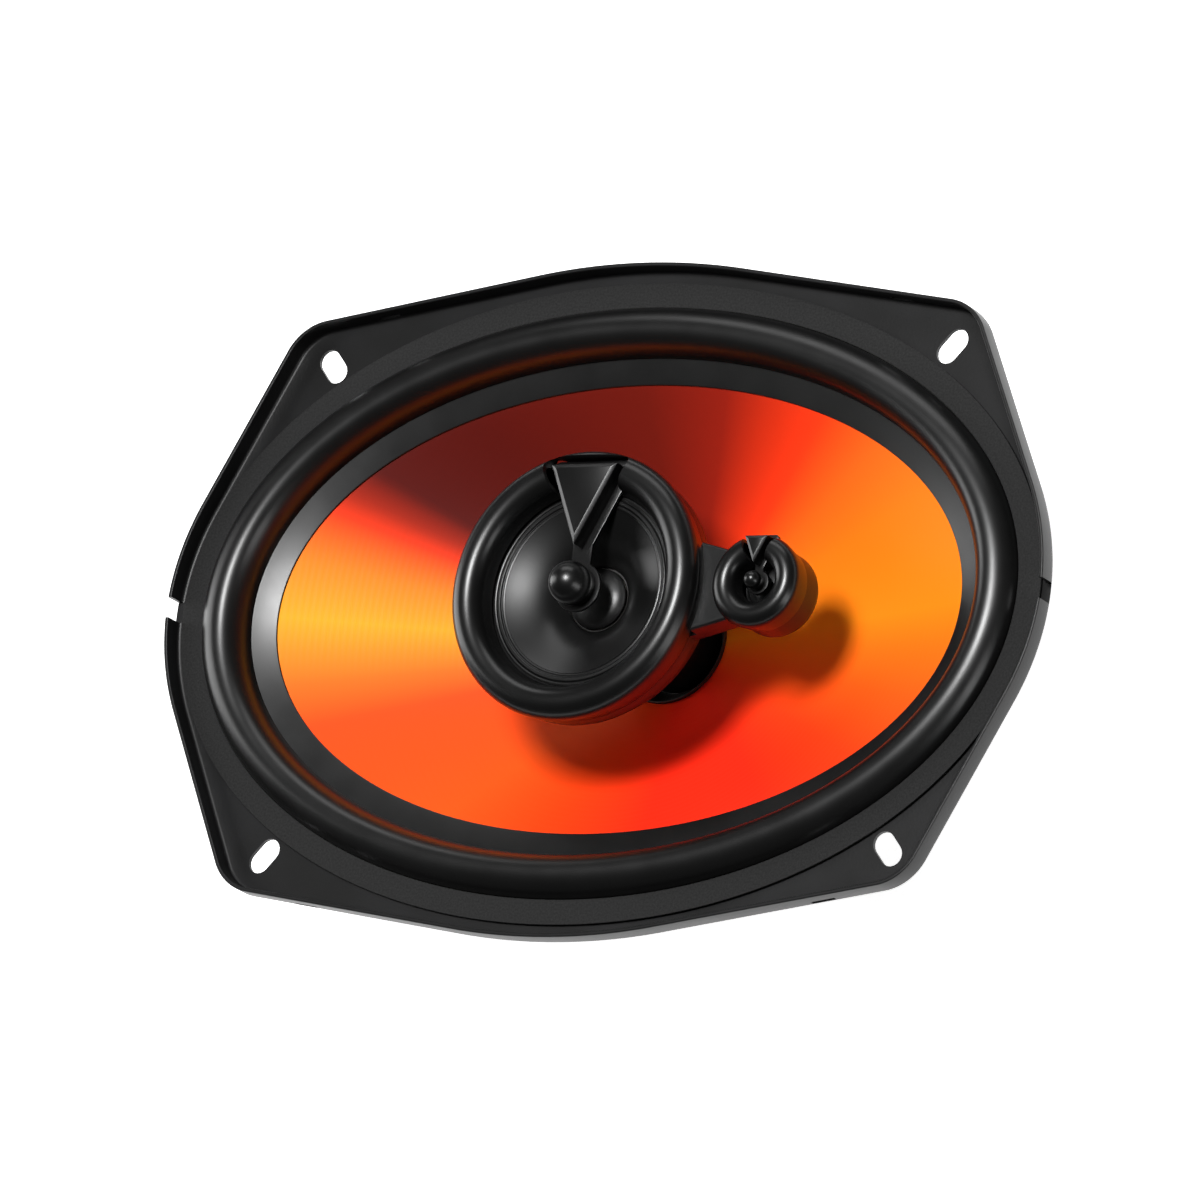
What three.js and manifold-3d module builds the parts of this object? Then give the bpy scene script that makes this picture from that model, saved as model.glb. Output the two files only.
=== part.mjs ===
// An oval three-way coaxial car loudspeaker of the 6 x 9 inch class. Millimetres, +Z out of its front.
// The origin is the centre of the yoke's rear face; +X runs along the oval towards the small tweeter.
import * as THREE from "three";
import { mergeVertices } from "three/addons/utils/BufferGeometryUtils.js";
import Module from "manifold-3d";

const wasm = await Module();
wasm.setup();

// ---------- Driving dimensions ----------

// Basket: one steel stamping of floor, spider shelf, arms, skirt, flange and lip.
const flangeHalfLength = 118;
const flangeHalfWidth = 82;
const mountingDepth = 82; // from the yoke's rear face to the flange's rear face
const sheet = 1;
const lipHeight = 4.9;
const slotInsetX = 34.15; // from the flange's end in to a mounting slot's centre: 167.7 between centres
const slotInsetY = 21.675; // 120.65 between centres
const slotWidth = 5.6;
const slotLength = 9.2;
const slotTilt = THREE.MathUtils.degToRad(50);
const earRadius = 13;
const earInsetX = 1.35; // from a slot's centre in to the centre of its ear's round corner
const earInsetY = 2.8;
const notchWidth = 5;
const tabSlotInset = 48.5; // from the flange's end in to a grille tab's slot
const tabSlotY = 69.7;
const tabSlotLength = 6;
const tabSlotHeight = 1.2;
const floorHoleMargin = 4.6;
const cupRadius = 47.5;
const cupFlare = 1.5;
const shelfHeight = 11; // from the basket's floor up to the spider shelf
const shelfWidth = 6.5;
const skirtHeight = 9;
const armWidth = 16;
const armAngles = [0, 38, 90, 142, 180, 218, 270, 322];
const windowFoot = 0.13; // share of the slanted wall left whole under the windows
const windowHead = 0.86;
const flangeSteps = 72; // corners of the flange's outline

// Front oval rings: each is given by its short radius, and its long radius is longer by ovalStretch.
const ovalStretch = flangeHalfLength - flangeHalfWidth + 1.6;
const gasketMargin = 4; // from the flange's edge in to the gasket
const gasketWidth = 6.2;
const gasketThickness = 0.6;
const surroundWall = 0.6;
const surroundFoot = 0.4;
const rollWidth = 11.2;
const rollHeight = 5.5;
const rollDrop = 2.6; // from the flange's front down to the cone's rim
const landingWidth = 6;
const landingDrop = 1.6; // the landing follows the cone's slope, so its inner edge is lower by this
const coneWall = 0.8;
const neckLead = 11.2; // from the spider shelf up to the cone's neck

// Voice coil and motor.
const coilBore = 15;
const formerWall = 0.3;
const windingWall = 0.8;
const windingHeight = 14;
const formerTail = 2;
const formerLead = 1;
const gapClearance = 0.8;
const glueLine = 0.1;
const yokeRadius = 43.5;
const yokeThickness = 6;
const magnetRadius = 45;
const magnetBoreMargin = 7;
const magnetHeight = 17;
const topPlateThickness = 6;
const poleLead = 2;
const spiderWall = 0.6;
const spiderWaves = 3;
const spiderWaveHeight = 1.3;
const spiderCollarWidth = 3;
const rivetCircle = 34;
const rivetCount = 4;
const rivetRadius = 2;
const rivetHeadRadius = 3.6;
const rivetHeadHeight = 1.2;
const rivetCrown = 0.7; // share of a rivet head's radius that is left at its top

// Centre pillar with its hollow bolt, which also carries the leads.
const pillarRadius = 11;
const pillarFootMargin = 2;
const pillarFootHeight = 5;
const boltRadius = 4.5;
const boltBore = 2.6;
const boltGrip = 15;
const nutAcrossCorners = 8;
const nutHeight = 4;
const washerHeight = 0.8;
const boltEnd = 3.9; // height of the bolt's rear end over the yoke's rear face
const counterboreRadius = 9.5;
const dustRingHeight = 4;
const dustRingDrop = 5; // from the cone's neck down to the dust ring

// Midrange pod, with heights over the flange's front face.
const bezelRadius = 32.5;
const bezelTube = 4;
const bezelHeight = 14; // of the centre of the bezel's round rim
const bezelWall = 1.5;
const bezelSkirt = 5.4;
const podWall = 1.6;
const podDepth = 28; // from the bezel's rim centre down to the pod's foot
const midConeMargin = 4.1; // from the bezel's inner wall in to the midrange cone's edge
const midConeHeight = 11.4;
const midDomeRadius = 7.3;
const midDomeHeight = 3.2;
const midDomeRise = 2.5;
const midSurroundWidth = 3;
const midWall = 0.5;
const midCupRadius = 12;
const midCupHeight = 8.5;
const midCupFloor = 2;
const midPlateHeight = 2;
const midGap = 0.6;
const midWindingWall = 0.4;
const pocketClearance = 0.4;
const bowlWaist = [0.56, 0.16]; // shares of the bezel's radius and the pod's depth on the bowl's curve
const bowlBelly = [0.82, 0.42];
const midBendOut = 0.42; // where the midrange cone's curve bends, as shares of its width and its depth
const midBendUp = 0.55;

// Small tweeter on the pod's arm.
const podGap = 4.6; // between the two bezels
const tweeterBezelRadius = 11.2;
const tweeterTube = 3;
const tweeterCupDepth = 8.5;
const tweeterDomeRadius = 4.6;
const tweeterDomeHeight = 9;
const tweeterDomeRise = 1.6;
const tweeterSurroundWidth = 1.1;
const armFront = 12; // height of the pod arm's flat front
const armDepth = 7;
const armHalfRoot = 10.4;
const armHalfTip = 7.6;
const linkBore = 1.2;
const cupFootShare = 0.75; // of the tweeter cup's radius, left flat at its foot
const tweeterCoilInset = 0.6; // from the dome's edge in to its coil
const tweeterCoilWall = 0.4;
const tweeterGap = 0.9; // between the coil and the motor on either side of it
const tweeterMotorWall = 1.7;
const tweeterMotorFloor = 1.2;

// Diffusers: a triangle by its top half width, its top's and tip's distance from the axis, and its faces'
// heights over the flange; a ball on a disc; and a backing plate round the triangle.
const midTriangle = { halfWidth: 8.95, topLead: 0.2, tip: 9.1, back: 13.3, front: 16.9, bevel: 1 };
const tweeterTriangle = { halfWidth: 3.1, topLead: 2.2, tip: 3.7, back: 13.6, front: 16.4, bevel: 0.7 };
const midBall = { radius: 5.1, height: 16.7, disc: 6 };
const tweeterBall = { radius: 2.1, height: 15.9, disc: 2.9 };
const midBacking = { offset: 1.9, base: 12.4 };
const tweeterBacking = { offset: 1, base: 12.4 };

// Terminal board on the -Y arm, with blades for push-on connectors.
const boardLength = 40;
const boardHeight = 22;
const boardThickness = 1.6;
const bladeThickness = 0.8; // of the coined free end that a connector slides on to
const bladeRootExtra = 0.1; // the riveted end keeps the strip's full thickness
const bladeShoulder = 0.8; // from the rivet's head down to where the coined end begins
const bladeLength = 24;
const bladeTopInset = 3; // from the board's top edge down to a blade's
const bladeChamfer = 1.2;
const positiveBladeWidth = 6.35;
const negativeBladeWidth = 4.75;
const bladeSpacing = 24;
const bladeRivetUp = 4;
const bladeRivetRadius = 1.1;
const bladeRivetHead = 2.2;
const boardRivetHead = 3;
const boardRivetPlaces = [-7, 7];
const capacitorRadius = 4;
const capacitorLength = 12;
const capacitorSpacing = 30;
const leadRadius = 1.1;
const tinselRadius = 0.8;
const tinselReach = 0.66; // share of the cone rim's radius at which the tinsel leads are fixed

// Fits.
const seatGap = 0.3; // between pieces that rest on each other in a turned frame
const slideGap = 0.3; // between a pin or a tube and its hole

// Facets.
const ovalSegments = 48;
const roundSegments = 28;
const smallSegments = 16;
const rivetSegments = 10;

// ---------- Heights that follow ----------

const magnetBase = yokeThickness;
const topPlateBase = magnetBase + magnetHeight;
const basketBase = topPlateBase + topPlateThickness;
const basketFloor = basketBase + sheet;
const shelfTop = basketFloor + shelfHeight;
const flangeBack = mountingDepth;
const flangeFront = mountingDepth + sheet;
const skirtFoot = flangeBack - skirtHeight;
const gasketOuter = flangeHalfWidth - gasketMargin;
const rollOuter = gasketOuter - gasketWidth;
const rollInner = rollOuter - rollWidth;
const coneRim = rollInner - landingWidth;
const coneRimTop = flangeFront - rollDrop;
const coneOuterTop = coneRimTop - surroundFoot - glueLine; // under the landing's outer edge
const coneRimFace = coneOuterTop - landingDrop; // under its inner edge
const neckTop = shelfTop + neckLead;
const formerRadius = coilBore + formerWall;
const windingRadius = formerRadius + windingWall;
const poleRadius = coilBore - gapClearance;
const plateBore = windingRadius + gapClearance;
const poleTop = basketFloor + poleLead - sheet;
const podFoot = flangeFront + bezelHeight - podDepth;
const shelfOuter = cupRadius + cupFlare + shelfWidth;
const slotX = flangeHalfLength - slotInsetX;
const slotY = flangeHalfWidth - slotInsetY;
const midConeRadius = bezelRadius - 2 * bezelTube - midConeMargin;
const tweeterOffset = bezelRadius + podGap + tweeterBezelRadius;
const boardRivetRadius = rivetRadius - slideGap;
midTriangle.top = bezelRadius - bezelTube + midTriangle.topLead;
tweeterTriangle.top = tweeterBezelRadius - tweeterTube + tweeterTriangle.topLead;

// ---------- Geometry helpers ----------

// A closed geometry as a manifold solid, turned outwards if its faces point in.
function solid(geometry) {
  const bare = geometry.clone();
  bare.deleteAttribute("normal");
  bare.deleteAttribute("uv");
  const merged = mergeVertices(bare);
  const vertProperties = merged.attributes.position.array;
  const triVerts = new Uint32Array(merged.index.array);
  const made = new wasm.Manifold(new wasm.Mesh({ numProp: 3, vertProperties, triVerts }));
  if (made.volume() > 0) return made;
  for (let i = 0; i < triVerts.length; i += 3) {
    const first = triVerts[i];
    triVerts[i] = triVerts[i + 1];
    triVerts[i + 1] = first;
  }
  return new wasm.Manifold(new wasm.Mesh({ numProp: 3, vertProperties, triVerts }));
}

// A manifold solid back as a three.js geometry.
function geometryOf(made) {
  const mesh = made.getMesh();
  const flat = new THREE.BufferGeometry();
  flat.setAttribute("position", new THREE.BufferAttribute(new Float32Array(mesh.vertProperties), 3));
  flat.setIndex(new THREE.BufferAttribute(new Uint32Array(mesh.triVerts), 1));
  const shaded = flat.toNonIndexed();
  shaded.computeVertexNormals();
  return shaded;
}

// A ring lofted through ovals. Each profile point is [short radius, height, stretch of the long radius].
function oval(profile, segments = roundSegments) {
  const points = profile.map(([radius, height]) => new THREE.Vector2(radius, height));
  const closes = profile[0][0] > 0;
  if (closes) points.push(points[0].clone());
  const lathe = new THREE.LatheGeometry(points, segments);
  const position = lathe.attributes.position;
  for (let i = 0; i < position.count; i++) {
    const [radius, height, stretch = 0] = profile[(i % points.length) % profile.length];
    const along = radius > 0 ? (radius + stretch) / radius : 1;
    position.setXYZ(i, position.getX(i) * along, -position.getZ(i), height);
  }
  return solid(lathe);
}

// A cylinder or tube standing on a height, as an oval with no stretch.
function tube(outer, inner, base, top, segments = roundSegments) {
  if (inner === 0) {
    return oval([[0, base], [outer, base], [outer, top], [0, top]], segments);
  }
  return oval([[inner, base], [outer, base], [outer, top], [inner, top]], segments);
}

// An extruded outline standing on a height.
function slab(shape, base, top, curveSegments = 8) {
  const settings = { depth: top - base, bevelEnabled: false, curveSegments };
  return solid(new THREE.ExtrudeGeometry(shape, settings).translate(0, 0, base));
}

function box(x0, x1, y0, y1, z0, z1) {
  const made = new THREE.BoxGeometry(x1 - x0, y1 - y0, z1 - z0);
  return solid(made.translate((x0 + x1) / 2, (y0 + y1) / 2, (z0 + z1) / 2));
}

// A solid moved by a matrix, so that one frame serves a turned group and the holes that follow it.
function moved(made, matrix) {
  return solid(geometryOf(made).applyMatrix4(matrix));
}

function shifted(made, x, y, z) {
  return moved(made, new THREE.Matrix4().makeTranslation(x, y, z));
}

// Points of a circular arc in a profile, from one angle to another in degrees.
function arc(centreRadius, centreHeight, radius, from, to, steps) {
  return Array.from({ length: steps + 1 }, (_, i) => {
    const angle = THREE.MathUtils.degToRad(from + ((to - from) * i) / steps);
    return [centreRadius + radius * Math.cos(angle), centreHeight + radius * Math.sin(angle)];
  });
}

function circleShape(x, y, radius) {
  return new THREE.Shape().absarc(x, y, radius, 0, 2 * Math.PI, false);
}

function ovalShape(radius, stretch) {
  return new THREE.Shape().absellipse(0, 0, radius + stretch, radius, 0, 2 * Math.PI, false, 0);
}

// The outline of round corners joined by straight sides, for corners given anticlockwise.
function roundedShape(corners, radius, steps = 4) {
  const outline = [];
  corners.forEach((corner, i) => {
    const before = corners[(i + corners.length - 1) % corners.length];
    const after = corners[(i + 1) % corners.length];
    const start = Math.atan2(corner[1] - before[1], corner[0] - before[0]) - Math.PI / 2;
    let end = Math.atan2(after[1] - corner[1], after[0] - corner[0]) - Math.PI / 2;
    if (end < start) end += 2 * Math.PI;
    for (let k = 0; k <= steps; k++) {
      const angle = start + ((end - start) * k) / steps;
      const x = corner[0] + radius * Math.cos(angle);
      const y = corner[1] + radius * Math.sin(angle);
      outline.push(new THREE.Vector2(x, y));
    }
  });
  return new THREE.Shape(outline);
}

function material(color, roughness, metalness) {
  return new THREE.MeshStandardMaterial({ color, roughness, metalness });
}

function piece(name, made, look) {
  const mesh = new THREE.Mesh(geometryOf(made), look);
  mesh.name = name;
  return mesh;
}

function lead(name, points, radius, steps, look) {
  const section = new THREE.Shape();
  const sides = 8;
  for (let i = 0; i < sides; i++) {
    const angle = (2 * Math.PI * i) / sides;
    const x = radius * Math.cos(angle);
    const y = radius * Math.sin(angle);
    if (i === 0) section.moveTo(x, y);
    else section.lineTo(x, y);
  }
  section.closePath();
  const extrudePath = new THREE.CatmullRomCurve3(points, false, "centripetal");
  const made = new THREE.ExtrudeGeometry(section, { steps, extrudePath, bevelEnabled: false });
  return piece(name, solid(made), look);
}

// ---------- Finishes ----------

const blackSteel = () => material(0x262626, 0.4, 0.6);
const blackPlastic = () => material(0x1c1c1c, 0.35, 0);
const zincSteel = () => material(0xb9bcbe, 0.35, 1);
const ferrite = () => material(0x2d2c2b, 0.7, 0);
const rubber = () => material(0x151515, 0.5, 0);
const copper = () => material(0xb4652d, 0.4, 1);
const tin = () => material(0xc9c9c5, 0.3, 1);
const neodymium = () => material(0x9a9c9f, 0.3, 1);
const blackFilm = () => material(0x1b1a19, 0.45, 0);

// ---------- Basket ----------

// The flange's outline: the tightest loop round the oval and the four ears, drawn in from its edge by inset.
function flangeShape(inset) {
  const earX = slotX - earInsetX;
  const earY = slotY - earInsetY;
  const outline = [];
  for (let i = 0; i < flangeSteps; i++) {
    const angle = (2 * Math.PI * i) / flangeSteps;
    const nx = Math.cos(angle);
    const ny = Math.sin(angle);
    const reach = Math.hypot(flangeHalfLength * nx, flangeHalfWidth * ny);
    const cornerX = Math.sign(nx) * earX;
    const cornerY = Math.sign(ny) * earY;
    const cornerReach = cornerX * nx + cornerY * ny + earRadius;
    const onOval = reach > cornerReach;
    const x = onOval ? (flangeHalfLength ** 2 * nx) / reach : cornerX + earRadius * nx;
    const y = onOval ? (flangeHalfWidth ** 2 * ny) / reach : cornerY + earRadius * ny;
    outline.push(new THREE.Vector2(x - inset * nx, y - inset * ny));
  }
  return new THREE.Shape(outline);
}

// A point of the slanted wall's outer face: 0 at the shelf, 1 at the skirt.
function wallPoint(share, inset = 0) {
  const radius = shelfOuter + (rollOuter - shelfOuter) * share - inset;
  const height = shelfTop - sheet + (skirtFoot - shelfTop + sheet) * share;
  return [radius, height, ovalStretch * share];
}

// The terminal board lies on the outside of the -Y arm, half way up the slanted wall.
const [boardReach, boardMiddle] = wallPoint(0.5);
const wallLean = Math.atan2(rollOuter - shelfOuter, skirtFoot - shelfTop + sheet);
const boardFrame = new THREE.Matrix4()
  .makeTranslation(0, -boardReach, boardMiddle)
  .multiply(new THREE.Matrix4().makeRotationX(Math.PI / 2 + wallLean));

function makeBasket() {
  const [footRadius, footHeight, footStretch] = wallPoint(0);
  const [headRadius, headHeight, headStretch] = wallPoint(1);
  let made = oval([
    [windingRadius + floorHoleMargin, basketBase],
    [cupRadius, basketBase],
    [cupRadius + cupFlare, shelfTop - sheet],
    [footRadius, footHeight, footStretch],
    [headRadius, headHeight, headStretch],
    [headRadius, flangeFront, headStretch],
    [headRadius - sheet, flangeFront, headStretch],
    [headRadius - sheet, headHeight + sheet / 2, headStretch],
    [footRadius - sheet / 2, shelfTop, footStretch],
    [cupRadius + cupFlare - sheet, shelfTop],
    [cupRadius - sheet, basketFloor],
    [windingRadius + floorHoleMargin, basketFloor],
  ], ovalSegments);

  const flange = flangeShape(0);
  flange.holes.push(ovalShape(rollOuter - sheet / 2, ovalStretch));
  const lip = flangeShape(0);
  lip.holes.push(flangeShape(sheet));
  made = made.add(slab(flange, flangeBack, flangeFront, ovalSegments / 4));
  made = made.add(slab(lip, flangeBack, flangeFront + lipHeight));

  const inner = wallPoint(windowFoot);
  const outer = wallPoint(windowHead);
  const ring = ovalShape(outer[0], outer[2]);
  ring.holes.push(ovalShape(inner[0], inner[2]));
  let windows = slab(ring, shelfTop - 2 * sheet, skirtFoot + 2 * sheet, 14);
  for (const degrees of armAngles) {
    const arm = box(0, 2 * flangeHalfLength, -armWidth / 2, armWidth / 2, 0, flangeBack);
    const turn = new THREE.Matrix4().makeRotationZ(THREE.MathUtils.degToRad(degrees));
    windows = windows.subtract(moved(arm, turn));
  }
  made = made.subtract(windows);

  const straight = (slotLength - slotWidth) / 2;
  for (const sideX of [-1, 1]) {
    const reach = flangeHalfLength + sheet;
    const cut = box(reach - 4 * sheet, reach + 2 * sheet, -notchWidth / 2, notchWidth / 2,
      flangeFront, flangeFront + 2 * lipHeight);
    made = made.subtract(sideX > 0 ? cut : moved(cut, new THREE.Matrix4().makeRotationZ(Math.PI)));
    for (const sideY of [-1, 1]) {
      const slot = roundedShape([[straight, 0], [-straight, 0]], slotWidth / 2, 6);
      const turn = new THREE.Matrix4()
        .makeTranslation(sideX * slotX, sideY * slotY, 0)
        .multiply(new THREE.Matrix4().makeRotationZ(sideX * sideY * slotTilt));
      made = made.subtract(moved(slab(slot, flangeBack - sheet, flangeFront + sheet), turn));
      const tabX = sideX * (flangeHalfLength - tabSlotInset);
      const tab = box(-tabSlotLength / 2, tabSlotLength / 2, -earRadius, earRadius,
        flangeFront + sheet / 2, flangeFront + sheet / 2 + tabSlotHeight);
      made = made.subtract(shifted(tab, tabX, sideY * tabSlotY, 0));
    }
  }
  for (let i = 0; i < rivetCount; i++) {
    const hole = tube(rivetRadius, 0, basketBase - sheet, basketFloor + sheet, rivetSegments);
    made = made.subtract(atRivet(i, hole));
  }
  for (const up of boardRivetPlaces) {
    const hole = shifted(tube(rivetRadius, 0, -3 * sheet, 3 * sheet, rivetSegments), 0, up, 0);
    made = made.subtract(moved(hole, boardFrame));
  }
  return made;
}

function atRivet(index, made) {
  const angle = (2 * Math.PI * (index + 0.5)) / rivetCount;
  return shifted(made, rivetCircle * Math.cos(angle), rivetCircle * Math.sin(angle), 0);
}

// ---------- Motor ----------

function makeTopPlate() {
  let made = tube(yokeRadius, plateBore, topPlateBase, basketBase);
  for (let i = 0; i < rivetCount; i++) {
    made = made.subtract(atRivet(i, tube(rivetRadius, 0, 0, flangeBack, rivetSegments)));
  }
  return made;
}

// The yoke is the rear plate and the pole in one; its rear face has a counterbore and a channel for the lead.
const channelHalfWidth = leadRadius + 0.5;
const channelDepth = boltEnd;
const counterboreDepth = boltEnd + nutHeight + washerHeight;

function makeYoke() {
  const rim = 1.5;
  let made = oval([
    [boltRadius + slideGap, 0],
    [yokeRadius - rim, 0],
    [yokeRadius, rim],
    [yokeRadius, yokeThickness],
    [poleRadius, yokeThickness],
    [poleRadius, poleTop],
    [boltRadius + slideGap, poleTop],
  ]);
  made = made.subtract(tube(counterboreRadius, 0, -1, counterboreDepth, roundSegments));
  return made.subtract(box(-channelHalfWidth, channelHalfWidth, -2 * yokeRadius, 0, -1, channelDepth));
}

function makeSpider() {
  const inner = formerRadius + glueLine;
  const start = inner + spiderCollarWidth;
  const end = cupRadius - sheet;
  const wave = (end - start) / spiderWaves;
  const outer = shelfOuter - sheet;
  const line = [[inner, shelfTop], [start, shelfTop]];
  for (let i = 0; i < spiderWaves; i++) {
    line.push([start + wave * (i + 0.25), shelfTop + spiderWaveHeight]);
    line.push([start + wave * (i + 0.75), shelfTop - spiderWaveHeight]);
  }
  line.push([end + sheet, shelfTop], [outer, shelfTop]);
  const back = line.map(([radius, height]) => [radius, height + spiderWall]).reverse();
  return oval([...line, ...back]);
}

function makeRivet(grip, headRadius, headHeight, tail) {
  return oval([
    [0, -grip],
    [tail, -grip],
    [tail, 0],
    [headRadius, 0],
    [headRadius * rivetCrown, headHeight],
    [0, headHeight],
  ], rivetSegments);
}

// ---------- Front ovals: surround and cone ----------

function makeSurround() {
  const top = flangeFront + surroundFoot;
  const middle = (rollOuter + rollInner) / 2;
  const half = rollWidth / 2;
  const drop = top - coneRimTop;
  const rise = rollHeight - surroundFoot;
  const steps = 5;
  const roll = (shrink) => Array.from({ length: steps + 1 }, (_, i) => {
    const angle = (Math.PI * i) / steps;
    const across = (half - shrink) * Math.cos(angle);
    const lean = (drop * (1 - Math.cos(angle))) / 2;
    return [middle + across, top - lean + (rise + lean - shrink) * Math.sin(angle), ovalStretch];
  });
  const outer = roll(0);
  const inner = roll(surroundWall).reverse();
  return oval([
    [gasketOuter - surroundFoot, flangeFront, ovalStretch],
    [gasketOuter - surroundFoot, top, ovalStretch],
    ...outer,
    [coneRim, coneRimTop - landingDrop, ovalStretch],
    [coneRim, coneRimTop - landingDrop - surroundFoot, ovalStretch],
    [rollInner - surroundWall, coneRimTop - surroundFoot, ovalStretch],
    [rollInner + surroundWall, coneRimTop - surroundFoot, ovalStretch],
    ...inner.slice(1, -1),
    [rollOuter - surroundWall, flangeFront, ovalStretch],
  ], ovalSegments);
}

function makeCone() {
  const neck = formerRadius + glueLine;
  return oval([
    [rollInner - surroundWall, coneOuterTop, ovalStretch],
    [coneRim, coneRimFace, ovalStretch],
    [neck, neckTop, 0],
    [neck, neckTop - 3 * coneWall, 0],
    [neck + coneWall, neckTop - 3 * coneWall, 0],
    [coneRim, coneRimFace - 1.3 * coneWall, ovalStretch],
    [rollInner - surroundWall, coneOuterTop - coneWall, ovalStretch],
  ], ovalSegments);
}

// The cone's front face over a point, as the height of the oval that passes through it.
function coneHeightAt(x, y) {
  const neck = formerRadius + glueLine;
  let low = 0;
  let high = 1;
  for (let i = 0; i < 30; i++) {
    const share = (low + high) / 2;
    const radius = neck + (coneRim - neck) * share;
    const inside = Math.hypot(x / (radius + ovalStretch * share), y / radius) < 1;
    if (inside) high = share;
    else low = share;
  }
  return neckTop + (coneRimFace - neckTop) * low;
}

// ---------- Pillar and pods ----------

function makePillar() {
  const foot = coilBore - pillarFootMargin;
  const bore = boltRadius + slideGap;
  return oval([
    [bore, poleTop],
    [foot, poleTop],
    [foot, poleTop + pillarFootHeight],
    [pillarRadius, poleTop + pillarFootHeight + foot - pillarRadius],
    [pillarRadius, podFoot],
    [bore + 2 * podWall, podFoot],
    [bore + 2 * podWall, podFoot + podWall],
    [bore, podFoot + podWall],
  ], 24);
}

const rimCentre = flangeFront + bezelHeight;
const bezelCrest = bezelRadius - bezelTube;
const shellShoulder = rimCentre - bezelSkirt;

function makeBezel(radius, tubeRadius, skirt, wall, innerDrop, steps, segments) {
  const crest = radius - tubeRadius;
  return oval([
    [radius - wall * 0.8, rimCentre - skirt],
    ...arc(crest, rimCentre, tubeRadius, 0, 180, steps),
    [crest - tubeRadius - wall / 2, rimCentre - innerDrop],
    [crest - tubeRadius + wall / 2, rimCentre - innerDrop],
    ...arc(crest, rimCentre, tubeRadius - wall, 180, 0, steps - 2),
    [radius - 1.8 * wall, rimCentre - skirt],
  ], segments);
}

// The three corners of a diffuser's triangle, with its sides moved out by grow.
function triangleCorners(triangle, grow = 0) {
  const slope = Math.atan2(triangle.halfWidth, triangle.top - triangle.tip);
  const side = grow / Math.cos(slope);
  const tipDrop = grow / Math.sin(slope);
  const topHalf = triangle.halfWidth + side + grow * Math.tan(slope);
  return [[0, triangle.tip - tipDrop], [topHalf, triangle.top + grow], [-topHalf, triangle.top + grow]];
}

function backingShape(triangle, offset) {
  return roundedShape(triangleCorners(triangle), offset, 3);
}

// A diffuser is one moulding: a bevelled triangle on a backing plate, and a ball on a disc over the centre.
function makeDiffuser(triangle, ball, backing) {
  const base = flangeFront + backing.base;
  const back = flangeFront + triangle.back;
  const front = flangeFront + triangle.front;
  const settings = {
    depth: front - back,
    bevelThickness: triangle.bevel,
    bevelSize: triangle.bevel,
    bevelOffset: -triangle.bevel,
    bevelSegments: 1,
  };
  const face = new THREE.Shape(triangleCorners(triangle).map(([x, y]) => new THREE.Vector2(x, y)));
  const bevelled = solid(new THREE.ExtrudeGeometry(face, settings).translate(0, 0, back - triangle.bevel));
  const below = box(-bezelRadius, bezelRadius, -bezelRadius, bezelRadius, front - 9, back - 0.01);
  const neckHalf = ball.radius / 2;
  const sphere = new THREE.SphereGeometry(ball.radius, smallSegments, 8).rotateX(Math.PI / 2);
  return slab(backingShape(triangle, backing.offset), base, back)
    .add(bevelled.subtract(below))
    .add(box(-neckHalf, neckHalf, 0, triangle.tip + backing.offset, base, back))
    .add(tube(ball.disc, 0, base, back, 24))
    .add(tube(ball.radius * 0.9, 0, base, flangeFront + ball.height, smallSegments))
    .add(solid(sphere.translate(0, 0, flangeFront + ball.height)));
}

function pocket(triangle, backing) {
  const shape = backingShape(triangle, backing.offset + pocketClearance);
  return slab(shape, flangeFront + backing.base - pocketClearance, rimCentre + 2 * bezelTube);
}

// The pod's rear shell: a bowl under the midrange bezel, a cup under the tweeter's, and the arm between them.
const podFootRadius = pillarRadius + 0.6;
const cupFoot = shellShoulder - tweeterCupDepth;
const tweeterCupRadius = tweeterBezelRadius - 1;
const shellRim = bezelRadius - bezelWall * 0.8;
const linkHeight = flangeFront + armFront - armDepth + 1.8;

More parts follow.
